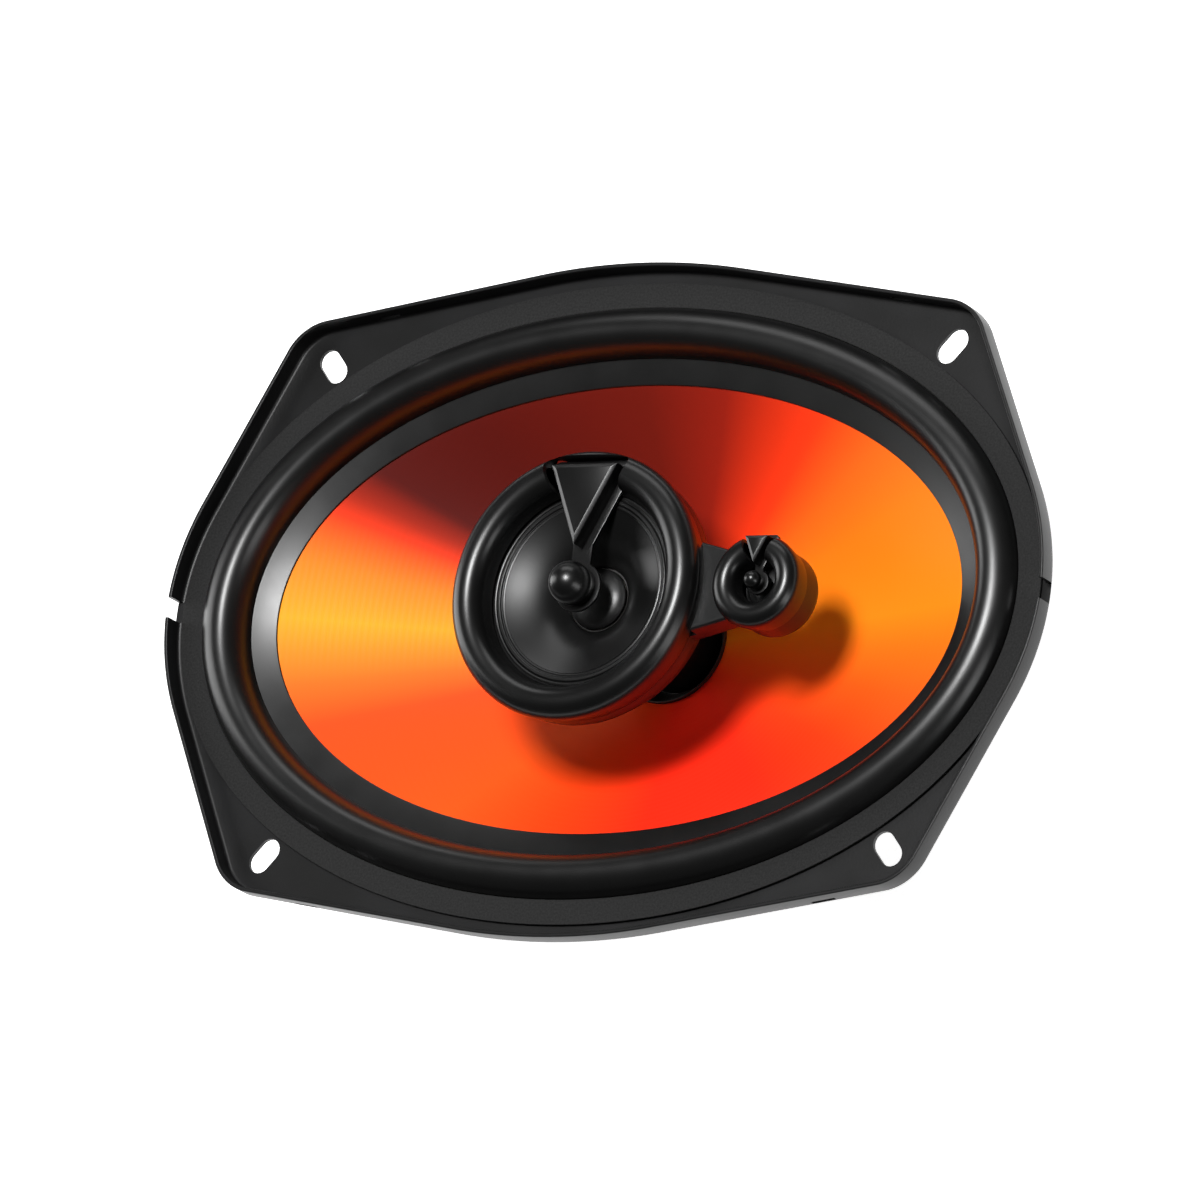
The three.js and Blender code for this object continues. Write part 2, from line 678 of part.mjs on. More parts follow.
function makePodShell() {
  const bowl = oval([
    [0, podFoot],
    [podFootRadius, podFoot],
    [bezelRadius * bowlWaist[0], podFoot + podDepth * bowlWaist[1]],
    [bezelRadius * bowlBelly[0], podFoot + podDepth * bowlBelly[1]],
    [shellRim, shellShoulder - 3],
    [shellRim, shellShoulder],
    [0, shellShoulder],
  ]);
  const cup = oval([
    [0, cupFoot],
    [tweeterCupRadius * cupFootShare, cupFoot],
    [tweeterCupRadius, cupFoot + tweeterCupDepth * 0.25],
    [tweeterCupRadius, shellShoulder],
    [0, shellShoulder],
  ], 24);
  const arm = new THREE.Shape([
    new THREE.Vector2(bezelCrest, -armHalfRoot - 1),
    new THREE.Vector2(tweeterOffset, -armHalfTip + 1.5),
    new THREE.Vector2(tweeterOffset, armHalfTip - 1.5),
    new THREE.Vector2(bezelCrest, armHalfRoot + 1),
  ]);
  const frontOfArm = flangeFront + armFront;
  const overMid = tube(bezelRadius + slideGap, 0, shellShoulder, frontOfArm + 1, roundSegments);
  const overTweeter = tube(tweeterBezelRadius + slideGap, 0, shellShoulder, frontOfArm + 1, 24);
  const hollow = oval([
    [0, podFoot + 2 * podWall],
    [podFootRadius + podWall, podFoot + 2 * podWall],
    [bezelRadius * bowlWaist[0] - 0.3, podFoot + podDepth * bowlWaist[1] + podWall],
    [bezelRadius * bowlBelly[0] - podWall, podFoot + podDepth * bowlBelly[1] + 0.6],
    [shellRim - podWall, shellShoulder - 2.6],
    [shellRim - podWall, shellShoulder + 1],
    [0, shellShoulder + 1],
  ]);
  const cupHollow = tube(tweeterCupRadius - podWall, 0, cupFoot + podWall, shellShoulder + 1, 24);
  const link = solid(new THREE.CylinderGeometry(linkBore, linkBore, tweeterOffset, smallSegments)
    .rotateZ(Math.PI / 2).translate(tweeterOffset / 2, 0, linkHeight));
  const spigot = boltRadius + slideGap + 2 * podWall + slideGap;
  return bowl
    .add(shifted(cup, tweeterOffset, 0, 0))
    .add(slab(arm, frontOfArm - armDepth, frontOfArm))
    .subtract(overMid)
    .subtract(shifted(overTweeter, tweeterOffset, 0, 0))
    .subtract(hollow)
    .subtract(shifted(cupHollow, tweeterOffset, 0, 0))
    .subtract(link)
    .subtract(tube(spigot, 0, podFoot - 1, podFoot + podWall + slideGap, 24))
    .subtract(tube(leadRadius + 3 * slideGap, 0, podFoot, podFoot + podDepth / 2, smallSegments));
}

// ---------- Small drivers ----------

// A dome with a rolled-over edge, from its rim's radius and height.
function makeDome(radius, height, rise, wall, segments) {
  const steps = 3;
  const half = Math.PI / 2;
  const line = Array.from({ length: steps + 1 }, (_, i) => {
    const angle = (half * i) / steps;
    return [radius * Math.sin(angle), height + rise * Math.cos(angle)];
  });
  const under = line.map(([r, z]) => [r > wall ? r - wall * (r / radius) : r, z - wall]).reverse();
  under[under.length - 1] = [0, height + rise - wall];
  return oval([...line, ...under], segments);
}

const midSegments = 24;
const midCoilRadius = midDomeRadius;
const midPoleRadius = midCoilRadius - midGap;
const midCupBore = midCoilRadius + midWall + midWindingWall + midGap;
const midCupBase = podFoot + 2 * podWall + glueLine;
const midCupTop = midCupBase + midCupHeight;
const midConeTop = flangeFront + midConeHeight;
const midDomeTop = flangeFront + midDomeHeight;
const midFrameRim = midConeRadius + midSurroundWidth;

function makeMidCone() {
  const bend = [
    midDomeRadius + (midConeRadius - midDomeRadius) * midBendOut,
    midDomeTop + (midConeHeight - midDomeHeight) * midBendUp,
  ];
  return oval([
    [midConeRadius, midConeTop],
    bend,
    [midDomeRadius + midWall + glueLine, midDomeTop],
    [midDomeRadius + midWall + glueLine, midDomeTop - 2 * midWall],
    [bend[0] + midWall, bend[1] - 1.6 * midWall],
    [midConeRadius, midConeTop - 1.4 * midWall],
  ], midSegments);
}

function makeMidSurround() {
  const inner = midConeRadius + glueLine;
  const outer = midFrameRim;
  const third = (outer - inner) / 4;
  const line = [
    [inner, midConeTop],
    [inner + third, midConeTop],
    [inner + 2 * third, midConeTop + 0.4],
    [inner + 3 * third, midConeTop],
    [outer, midConeTop],
  ];
  return oval([...line, ...line.map(([r, z]) => [r, z - midWall]).reverse()], midSegments);
}

// The midrange frame: a rim that the surround is glued on, a slanted wall, and a seat for the motor cup.
function makeMidFrame() {
  const seat = midCupRadius + glueLine;
  const under = midConeTop - midWall;
  return oval([
    [midFrameRim - 2, under],
    [midFrameRim + 1.4, under],
    [midFrameRim + 1.4, under - 1.2],
    [midFrameRim - 0.8, under - 1.8],
    [seat + 1.2, midCupTop],
    [seat + 1.2, midCupTop - 3],
    [seat, midCupTop - 3],
    [seat, midCupTop + 0.6],
    [midFrameRim - 2, under - 1.6],
  ], midSegments);
}

function makeCup(outer, inner, base, top, floor, segments) {
  return oval([
    [0, base],
    [outer, base],
    [outer, top],
    [inner, top],
    [inner, base + floor],
    [0, base + floor],
  ], segments);
}

const tweeterRim = flangeFront + tweeterDomeHeight;
const tweeterCoil = tweeterDomeRadius - tweeterCoilInset;
const tweeterMotorBore = tweeterCoil + tweeterGap;
const tweeterMotorBase = cupFoot + podWall + glueLine;
const tweeterMotorTop = tweeterRim - 2.2;

function makeTweeterSurround() {
  const inner = tweeterDomeRadius + glueLine;
  const outer = inner + tweeterSurroundWidth;
  return oval([
    [inner, tweeterRim],
    [(inner + outer) / 2, tweeterRim + 0.5],
    [outer, tweeterRim],
    [outer, tweeterRim - 0.4],
    [(inner + outer) / 2, tweeterRim + 0.1],
    [inner, tweeterRim - 0.4],
  ], smallSegments);
}

// The tweeter's faceplate holds the surround and closes the cup round it.
function makeTweeterFaceplate() {
  const inner = tweeterDomeRadius + 0.5;
  const outer = tweeterCupRadius - podWall - slideGap;
  return oval([
    [inner, tweeterRim - 0.4],
    [outer, tweeterRim - 0.4],
    [outer, tweeterMotorTop + glueLine],
    [inner + 0.5, tweeterMotorTop + glueLine],
  ], smallSegments);
}

// ---------- Terminals ----------

// A push-on blade. Its free end is coined thinner, with a shoulder just short of the rivet's head.
function makeBlade(width, x) {
  const base = 2 * seatGap + boardThickness;
  const face = base + bladeThickness;
  const top = boardHeight / 2 - bladeTopInset;
  const tip = top - bladeLength;
  const outline = new THREE.Shape([
    new THREE.Vector2(x - width / 2 + bladeChamfer, tip),
    new THREE.Vector2(x + width / 2 - bladeChamfer, tip),
    new THREE.Vector2(x + width / 2, tip + bladeChamfer),
    new THREE.Vector2(x + width / 2, top),
    new THREE.Vector2(x - width / 2, top),
    new THREE.Vector2(x - width / 2, tip + bladeChamfer),
  ]);
  outline.holes.push(circleShape(x, bladeRivetUp, bladeRivetRadius + slideGap));
  const shoulder = bladeRivetUp - bladeRivetHead - bladeShoulder;
  const coined = box(x - width, x + width, tip - width, shoulder, face, face + 2 * bladeRootExtra);
  return slab(outline, base, face + bladeRootExtra, 4).subtract(coined);
}

function makeBoard() {
  const half = boardLength / 2;
  const rise = boardHeight / 2;
  const corner = 2;
  const corners = [[-half, -rise], [half, -rise], [half, rise], [-half, rise]];
  const inset = corners.map(([x, y]) => [x - Math.sign(x) * corner, y - Math.sign(y) * corner]);
  let made = slab(roundedShape(inset, corner, 3), seatGap, seatGap + boardThickness);
  for (const up of boardRivetPlaces) {
    made = made.subtract(shifted(tube(rivetRadius, 0, 0, 9, rivetSegments), 0, up, 0));
  }
  for (const side of [-1, 1]) {
    const hole = tube(bladeRivetRadius + slideGap, 0, 0, 9, rivetSegments);
    made = made.subtract(shifted(hole, (side * bladeSpacing) / 2, bladeRivetUp, 0));
  }
  return made;
}

// ---------- Assembly ----------

const speaker = new THREE.Group();
speaker.name = "coaxial_speaker";

speaker.add(piece("basket", makeBasket(), blackSteel()));
speaker.add(piece("gasket_ring", oval([
  [gasketOuter - gasketWidth, flangeFront + surroundFoot, ovalStretch],
  [gasketOuter, flangeFront + surroundFoot, ovalStretch],
  [gasketOuter, flangeFront + surroundFoot + gasketThickness, ovalStretch],
  [gasketOuter - gasketWidth + 2 * glueLine, flangeFront + surroundFoot + gasketThickness, ovalStretch],
], ovalSegments), material(0x353535, 0.7, 0)));
speaker.add(piece("surround", makeSurround(), rubber()));
speaker.add(piece("cone", makeCone(), material(0xf0701a, 0.3, 0.6)));
speaker.add(piece("spider", makeSpider(), material(0xb98a45, 0.9, 0)));

speaker.add(piece("top_plate", makeTopPlate(), zincSteel()));
speaker.add(piece("magnet",
  tube(magnetRadius, plateBore + magnetBoreMargin, magnetBase, topPlateBase), ferrite()));
speaker.add(piece("yoke", makeYoke(), zincSteel()));
for (let i = 0; i < rivetCount; i++) {
  const rivet = makeRivet(sheet + topPlateThickness - slideGap, rivetHeadRadius, rivetHeadHeight,
    rivetRadius - slideGap);
  speaker.add(piece("basket_rivet_" + (i + 1), atRivet(i, shifted(rivet, 0, 0, basketFloor)), zincSteel()));
}

const windingMiddle = topPlateBase + topPlateThickness / 2;
const windingFoot = windingMiddle - windingHeight / 2;
speaker.add(piece("voice_coil_former",
  tube(formerRadius, coilBore, windingFoot - formerTail, neckTop + formerLead), blackFilm()));
speaker.add(piece("voice_coil_winding",
  tube(windingRadius, formerRadius + glueLine / 2, windingFoot, windingFoot + windingHeight), copper()));

speaker.add(piece("pillar", makePillar(), blackPlastic()));
speaker.add(piece("pillar_bolt", tube(boltRadius, boltBore, boltEnd, poleTop + boltGrip, 24), zincSteel()));
speaker.add(piece("pillar_nut",
  tube(nutAcrossCorners, boltRadius + slideGap, boltEnd, boltEnd + nutHeight, 6)
    .subtract(tube(boltRadius + slideGap, 0, 0, 2 * nutHeight + boltEnd, 24)), zincSteel()));
speaker.add(piece("pillar_washer",
  tube(counterboreRadius - slideGap, boltRadius + slideGap, boltEnd + nutHeight, counterboreDepth, 24),
  zincSteel()));
const dustRingTop = neckTop - dustRingDrop;
speaker.add(piece("dust_ring",
  tube(coilBore - slideGap, pillarRadius + glueLine, dustRingTop - dustRingHeight, dustRingTop, 24),
  material(0x101010, 1, 0)));

// Pod, bezels and diffusers.
speaker.add(piece("pod_shell", makePodShell(), blackPlastic()));
const midBezel = makeBezel(bezelRadius, bezelTube, bezelSkirt - glueLine, bezelWall, 2.2, 5, roundSegments);
speaker.add(piece("mid_bezel", midBezel.subtract(pocket(midTriangle, midBacking)), blackPlastic()));
speaker.add(piece("mid_diffuser", makeDiffuser(midTriangle, midBall, midBacking), blackPlastic()));
const tweeter = new THREE.Group();
tweeter.position.x = tweeterOffset;
speaker.add(tweeter);
const smallBezel = makeBezel(tweeterBezelRadius, tweeterTube, bezelSkirt - glueLine, 1, 1.8, 4, 24);
tweeter.add(piece("tweeter_bezel",
  smallBezel.subtract(pocket(tweeterTriangle, tweeterBacking)), blackPlastic()));
tweeter.add(piece("tweeter_diffuser",
  makeDiffuser(tweeterTriangle, tweeterBall, tweeterBacking), blackPlastic()));

// Midrange driver.
speaker.add(piece("mid_frame", makeMidFrame(), blackSteel()));
speaker.add(piece("mid_cone", makeMidCone(), material(0x1a1a1a, 0.35, 0)));
speaker.add(piece("mid_dome", makeDome(midDomeRadius, midDomeTop, midDomeRise, midWall, midSegments),
  material(0x181818, 0.3, 0)));
speaker.add(piece("mid_surround", makeMidSurround(), rubber()));
speaker.add(piece("mid_coil_former",
  tube(midCoilRadius + midWall, midCoilRadius, midCupTop - 4.5, midDomeTop - midWall - glueLine, midSegments),
  blackFilm()));
speaker.add(piece("mid_coil_winding",
  tube(midCoilRadius + midWall + midWindingWall, midCoilRadius + midWall + glueLine / 2,
    midCupTop - 4, midCupTop, midSegments), copper()));
speaker.add(piece("mid_motor_cup",
  makeCup(midCupRadius, midCupBore, midCupBase, midCupTop, midCupFloor, midSegments), zincSteel()));
speaker.add(piece("mid_magnet",
  tube(midPoleRadius - 0.5, 0, midCupBase + midCupFloor, midCupTop - midPlateHeight, midSegments),
  neodymium()));
speaker.add(piece("mid_pole_plate",
  tube(midPoleRadius, 0, midCupTop - midPlateHeight, midCupTop, midSegments), zincSteel()));

// Small tweeter driver.
tweeter.add(piece("tweeter_faceplate", makeTweeterFaceplate(), blackPlastic()));
tweeter.add(piece("tweeter_surround", makeTweeterSurround(), rubber()));
tweeter.add(piece("tweeter_dome",
  makeDome(tweeterDomeRadius, tweeterRim, tweeterDomeRise, 0.4, smallSegments), material(0x141414, 0.4, 0)));
tweeter.add(piece("tweeter_coil",
  tube(tweeterCoil + tweeterCoilWall, tweeterCoil, tweeterMotorTop - 1.6, tweeterRim - 0.5, smallSegments),
  copper()));
tweeter.add(piece("tweeter_motor_cup",
  makeCup(tweeterMotorBore + tweeterMotorWall, tweeterMotorBore, tweeterMotorBase, tweeterMotorTop,
    tweeterMotorFloor, smallSegments), zincSteel()));
tweeter.add(piece("tweeter_magnet",
  tube(tweeterCoil - tweeterGap, 0, tweeterMotorBase + tweeterMotorFloor, tweeterMotorTop, smallSegments),
  neodymium()));

// Terminal board with its blades, rivets and crossover capacitors.
const board = new THREE.Group();
board.applyMatrix4(boardFrame);
speaker.add(board);
board.add(piece("terminal_board", makeBoard(), material(0x8a5a2b, 0.6, 0)));
board.add(piece("positive_blade", makeBlade(positiveBladeWidth, bladeSpacing / 2), tin()));
board.add(piece("negative_blade", makeBlade(negativeBladeWidth, -bladeSpacing / 2), tin()));
const bladeFace = 3 * seatGap + boardThickness + bladeThickness + bladeRootExtra;
const boardFace = 2 * seatGap + boardThickness;
const bladeRivet = makeRivet(bladeFace, bladeRivetHead, 0.9, bladeRivetRadius);
const boardRivet = makeRivet(boardFace + 2 * sheet, boardRivetHead, 1, boardRivetRadius);
[["positive_blade_rivet", 1], ["negative_blade_rivet", -1]].forEach(([name, side]) => {
  board.add(piece(name, shifted(bladeRivet, (side * bladeSpacing) / 2, bladeRivetUp, bladeFace), tin()));
});
boardRivetPlaces.forEach((up, i) => {
  board.add(piece("board_rivet_" + (i + 1), shifted(boardRivet, 0, up, boardFace), zincSteel()));
});
[["mid_capacitor", -1], ["tweeter_capacitor", 1]].forEach(([name, side]) => {
  const body = new THREE.CylinderGeometry(capacitorRadius, capacitorRadius, capacitorLength, smallSegments);
  const x = (side * capacitorSpacing) / 2;
  body.translate(x, -boardHeight / 2 + capacitorLength / 2 + 1, -capacitorRadius);
  board.add(piece(name, solid(body), material(0x20242c, 0.4, 0)));
});

// Tinsel leads: slack braids from the board to the back of the cone.
[["positive_tinsel_lead", 1], ["negative_tinsel_lead", -1]].forEach(([name, side]) => {
  const start = new THREE.Vector3(side * 14, boardHeight / 2 - 2, -tinselRadius).applyMatrix4(boardFrame);
  const endX = side * 10;
  const endY = -tinselReach * coneRim;
  const end = new THREE.Vector3(endX, endY, coneHeightAt(endX, endY) - 2 * coneWall - 2 * tinselRadius);
  const points = [0, 0.2, 0.45, 0.7, 0.9, 1].map((share, i) => {
    const sag = [0, 0.4, -2.5, -5, -2.8, 0][i];
    return start.clone().lerp(end, share).add(new THREE.Vector3(0, 0, sag));
  });
  speaker.add(lead(name, points, tinselRadius, 14, copper()));
});

// The twin lead: from the board down past the magnet, along the yoke's channel and up the hollow bolt.
const leadStart = new THREE.Vector3(0, -boardHeight / 2 - 1, leadRadius + 0.6).applyMatrix4(boardFrame);
const magnetSide = -magnetRadius - leadRadius - 0.4;
const channelHeight = leadRadius + 0.6;
speaker.add(lead("twin_lead", [
  leadStart,
  new THREE.Vector3(0, -shelfOuter - leadRadius - 1, shelfTop - 1),
  new THREE.Vector3(0, (magnetSide - shelfOuter) / 2 - leadRadius, basketBase + 2),
  new THREE.Vector3(0, magnetSide, topPlateBase),
  new THREE.Vector3(0, magnetSide, magnetBase + magnetHeight / 2),
  new THREE.Vector3(0, magnetSide, magnetBase),
  new THREE.Vector3(0, magnetSide + 0.8, channelHeight + 1.4),
  new THREE.Vector3(0, magnetSide + 3, channelHeight),
  new THREE.Vector3(0, magnetSide / 2, channelHeight),
  new THREE.Vector3(0, -boltRadius, channelHeight),
  new THREE.Vector3(0, -leadRadius, channelHeight + leadRadius),
  new THREE.Vector3(0, 0, boltEnd + 3),
  new THREE.Vector3(0, 0, poleTop),
  new THREE.Vector3(0, 0, podFoot),
  new THREE.Vector3(0, 0, midCupBase - seatGap),
], leadRadius, 42, material(0x111111, 0.6, 0)));
const linkStart = shellRim - podWall - 1;
const linkEnd = tweeterOffset - tweeterCupRadius + podWall;
speaker.add(lead("tweeter_link_lead", [
  new THREE.Vector3(linkStart, 0, linkHeight),
  new THREE.Vector3((linkStart + linkEnd) / 2, 0, linkHeight),
  new THREE.Vector3(linkEnd, 0, linkHeight),
], linkBore - slideGap, 4, material(0x111111, 0.6, 0)));

export default speaker;
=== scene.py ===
# %% [markdown]
# # An oval three-way car speaker
# This file rebuilds the looks of an oval coaxial speaker round its packed design model. Every number is
# in millimetres until a mesh is written, where it turns to metres. +Z points out of the speaker's front
# and +X runs along the oval towards the small tweeter, as on the design model.

# %% Load the frame
import math

import bmesh
import bpy
import numpy as np
from mathutils import Matrix, Vector


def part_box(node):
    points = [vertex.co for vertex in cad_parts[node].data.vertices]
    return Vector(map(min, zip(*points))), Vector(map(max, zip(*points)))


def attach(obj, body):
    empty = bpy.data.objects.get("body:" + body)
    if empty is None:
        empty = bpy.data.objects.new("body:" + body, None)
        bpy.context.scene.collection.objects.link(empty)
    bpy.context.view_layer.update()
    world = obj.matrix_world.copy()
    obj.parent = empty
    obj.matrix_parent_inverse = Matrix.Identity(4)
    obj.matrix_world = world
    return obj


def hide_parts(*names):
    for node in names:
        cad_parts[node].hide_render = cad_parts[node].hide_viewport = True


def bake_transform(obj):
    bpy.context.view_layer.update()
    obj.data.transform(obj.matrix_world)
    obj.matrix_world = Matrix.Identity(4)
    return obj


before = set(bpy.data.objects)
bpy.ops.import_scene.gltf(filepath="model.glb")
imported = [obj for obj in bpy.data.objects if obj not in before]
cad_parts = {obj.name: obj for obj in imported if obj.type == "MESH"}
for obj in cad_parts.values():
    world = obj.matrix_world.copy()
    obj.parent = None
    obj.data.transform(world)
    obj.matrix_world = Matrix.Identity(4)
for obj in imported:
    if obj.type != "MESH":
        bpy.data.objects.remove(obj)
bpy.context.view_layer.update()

# %% [markdown]
# ## The view
# The speaker is seen from its front, a little from the right and below, through a very long lens, so its
# parallel edges stay parallel. A camera with a 400 mm lens three metres away gives that look. The target
# is the centre of the flange's front, moved by a hair so that the whole outline is framed.

# %% Camera
MM = 0.001
flange_front = 83.0
view_direction = Vector((0.5060, -0.2582, 0.8230)).normalized()
view_right = Vector((0.0195, 0.9573, 0.2883)).cross(view_direction).normalized()
view_up = view_direction.cross(view_right)
frame_width, lens_length, sensor_width = 279.55, 400.0, 36.0
aim_right, aim_up = -1.258, 0.769

lens = bpy.data.cameras.new("studio_camera")
lens.lens, lens.sensor_width = lens_length, sensor_width
camera = bpy.data.objects.new("studio_camera", lens)
bpy.context.scene.collection.objects.link(camera)
bpy.context.scene.camera = camera
target = Vector((0, 0, flange_front)) + aim_right * view_right + aim_up * view_up
distance = frame_width * lens_length / sensor_width
camera.matrix_world = Matrix.Translation((target + view_direction * distance) * MM) @ Matrix(
    (view_right, view_up, view_direction)).transposed().to_4x4()
lens.clip_end = 3 * distance * MM
print("camera stands", round(distance / 1000, 2), "m away")

# %% [markdown]
# ## Small tools
# Most of this speaker is turned or pressed: a line, the profile, carried round a circle or an oval. The
# tools below write such a mesh from a profile. A profile point holds a short radius, a height and a
# stretch, which is what the long radius has over the short one. An oval's points are spread by the
# direction that its edge faces, so that the rings of an oval and of a round part line up.

# %% Rings and skins
def oval_ring(radius, height, stretch=0.0, around=256):
    """The points of one oval at a height."""
    ring = []
    for k in range(around):
        facing = 2 * math.pi * k / around
        turn = math.atan2(radius * math.sin(facing), (radius + stretch) * math.cos(facing))
        ring.append(((radius + stretch) * math.cos(turn), radius * math.sin(turn), height))
    return ring


def skin(rings, closed=True):
    """Quads between neighbouring rings, and from the last back to the first where the form is closed."""
    count, rows = len(rings[0]), len(rings)
    points = [point for ring in rings for point in ring]
    faces = []
    for row in range(rows if closed else rows - 1):
        here, there = row * count, (row + 1) % rows * count
        for k in range(count):
            n = (k + 1) % count
            faces.append((here + k, here + n, there + n, there + k))
    return points, faces


def smooth_by_angle(mesh, degrees=32):
    """Smooth shading that keeps edges sharper than an angle."""
    mesh.shade_smooth()
    mesh.set_sharp_from_angle(angle=math.radians(degrees))


def new_piece(name, points, faces, finish, place=None):
    """A mesh object from points in millimetres, with its doubles merged and its faces turned outwards."""
    mesh = bpy.data.meshes.new(name)
    mesh.from_pydata([Vector(p) * MM for p in points], [], faces)
    soup = bmesh.new()
    soup.from_mesh(mesh)
    bmesh.ops.remove_doubles(soup, verts=soup.verts, dist=1e-6)
    bmesh.ops.recalc_face_normals(soup, faces=soup.faces)
    soup.to_mesh(mesh)
    soup.free()
    if place is not None:
        mesh.transform(place)
    mesh.materials.append(finish)
    smooth_by_angle(mesh)
    piece = bpy.data.objects.new(name, mesh)
    bpy.context.scene.collection.objects.link(piece)
    return piece


# %% [markdown]
# A pressed or moulded corner is never sharp. `soften` replaces each corner of a profile by a short curve,
# and leaves the end points alone, and `curve_through` draws one flowing line through a few points.

# %% Corners and flowing lines
def soften(points, radius, steps=4, closed=False):
    """A profile with its corners rounded; radius is one number or one for each point."""
    points = [np.array(p, float) for p in points]
    radii = radius if hasattr(radius, "__len__") else [radius] * len(points)
    line = []
    for i, point in enumerate(points):
        at_end = not closed and i in (0, len(points) - 1)
        if at_end or radii[i] == 0:
            line.append(point)
            continue
        before, after = points[i - 1] - point, points[(i + 1) % len(points)] - point
        reach = min(radii[i], 0.49 * np.linalg.norm(before), 0.49 * np.linalg.norm(after))
        start = point + before * (reach / np.linalg.norm(before))
        end = point + after * (reach / np.linalg.norm(after))
        for k in range(steps + 1):
            t = k / steps
            line.append((1 - t) ** 2 * start + 2 * t * (1 - t) * point + t * t * end)
    return line


def curve_through(points, steps=8):
    """A Catmull-Rom line through the points."""
    points = [np.array(p, float) for p in points]
    ends = [2 * points[0] - points[1], *points, 2 * points[-1] - points[-2]]
    line = [points[0]]
    for i in range(len(points) - 1):
        a, b, c, d = ends[i:i + 4]
        for k in range(1, steps + 1):
            t = k / steps
            line.append(0.5 * (2 * b + (c - a) * t + (2 * a - 5 * b + 4 * c - d) * t * t
                               + (3 * b - 3 * c + d - a) * t ** 3))
    return line


def arc(radius, height, size, start, end, steps=12):
    """Points of a circular arc round (radius, height), from one angle to another in degrees."""
    angles = [math.radians(start + (end - start) * k / steps) for k in range(steps + 1)]
    return [(radius + size * math.cos(a), height + size * math.sin(a)) for a in angles]


def turned(name, profile, finish, around=256, centre=(0, 0), stretch=0.0, place=None):
    """A closed ring, or a closed solid where the profile starts and ends on the axis."""
    rings = []
    for point in profile:
        own = point[2] if len(point) > 2 else stretch
        rings.append(oval_ring(max(point[0], 1e-4), point[1], own if point[0] > 0 else 0.0, around))
    solid = profile[0][0] < 1e-3 and profile[-1][0] < 1e-3
    points, faces = skin(rings, closed=not solid)
    points = [(x + centre[0], y + centre[1], z) for x, y, z in points]
    return new_piece(name, points, faces, finish, place)


def disc(name, radius, base, top, edge=0.0, finish=None, around=96, centre=(0, 0)):
    """A round plate with broken edges; without a finish it is a tool that cuts a hole."""
    profile = [(0, base), (radius, base), (radius, top), (0, top)]
    return turned(name, soften(profile, [0, edge, edge, 0], 3), finish, around, centre)


def tube(name, inner, outer, base, top, edge, steps, finish, around=256):
    """A ring of rectangular section with broken edges."""
    profile = [(inner, base), (outer, base), (outer, top), (inner, top)]
    return turned(name, soften(profile, edge, steps, closed=True), finish, around)


def prism(name, outline, base, top, finish=None):
    """A closed slab: a flat outline between two heights."""
    count = len(outline)
    points = [(x, y, base) for x, y in outline] + [(x, y, top) for x, y in outline]
    faces = [tuple(range(count)), tuple(range(count, 2 * count))]
    faces += [(k, (k + 1) % count, count + (k + 1) % count, count + k) for k in range(count)]
    return new_piece(name, points, faces, finish)


def block(x, y, z, finish=None):
    """A box between two limits on each axis."""
    return prism("block", [(x[0], y[0]), (x[1], y[0]), (x[1], y[1]), (x[0], y[1])], *z, finish)


# %% [markdown]
# Holes and joins are booleans. The tool pieces are removed as soon as they have done their work, so the
# finished piece is one plain mesh with no modifier left on it.

# %% Cut, join and bake
def bake(piece):
    """Applies a piece's modifiers to its mesh."""
    graph = bpy.context.evaluated_depsgraph_get()
    plain = bpy.data.meshes.new_from_object(piece.evaluated_get(graph), depsgraph=graph)
    piece.modifiers.clear()
    old, piece.data = piece.data, plain
    plain.name = piece.name
    bpy.data.meshes.remove(old)
    return piece


def combine(piece, tools, operation, degrees=32):
    """Cuts tools from a piece, or joins them to it."""
    for tool in tools:
        step = piece.modifiers.new("combine", "BOOLEAN")
        step.object, step.operation, step.solver = tool, operation, "MANIFOLD"
    bake(piece)
    for tool in tools:
        mesh = tool.data
        bpy.data.objects.remove(tool)
        bpy.data.meshes.remove(mesh)
    smooth_by_angle(piece.data, degrees)
    return piece


def round_edges(piece, width, segments=2, degrees=40):
    """Breaks a piece's sharp edges with a small bevel."""
    step = piece.modifiers.new("edges", "BEVEL")
    step.width, step.segments, step.limit_method = width * MM, segments, "ANGLE"
    step.angle_limit = math.radians(degrees)
    bake(piece)
    smooth_by_angle(piece.data)
    return piece


def report(piece):
    """Prints a piece's size and its number of faces."""
    size = [round(1000 * side, 1) for side in piece.dimensions]
    print(piece.name, size, "mm,", len(piece.data.polygons), "faces")


def hand_over(piece, slot, *nodes):
    """Hides the design nodes that a piece stands for and prints its size; the slot is not used."""
    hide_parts(*nodes)
    report(piece)


def finished(piece, body, slot, *nodes):
    """Hands over a piece that rides on one body."""
    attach(piece, body)
    hand_over(piece, slot, *nodes)


def points_of(piece):
    """A piece's points as rows, in millimetres."""
    flat = np.zeros(3 * len(piece.data.vertices))
    piece.data.vertices.foreach_get("co", flat)
    return flat.reshape(-1, 3) / MM


def flexed(piece, body, weights, slot, *nodes):
    """Bakes a piece's placement into its mesh and hands it over; the weights are eased but not applied,
    and the body is not used.
    """
    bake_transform(piece)
    ease = np.clip(weights, 0, 1)
    ease = ease * ease * (3 - 2 * ease)
    hand_over(piece, slot, *nodes)


# %% [markdown]
# ## Finishes
# A finish starts from the real material. Its constant values go straight to the shader, its colours are
# sRGB hex values that `linear` turns to scene light, and its pattern is drawn from noise in object
# coordinates whose scale is one over a real size. `add` puts one node in a tree with its settings and
# links, and serves the shader trees and the geometry trees alike.

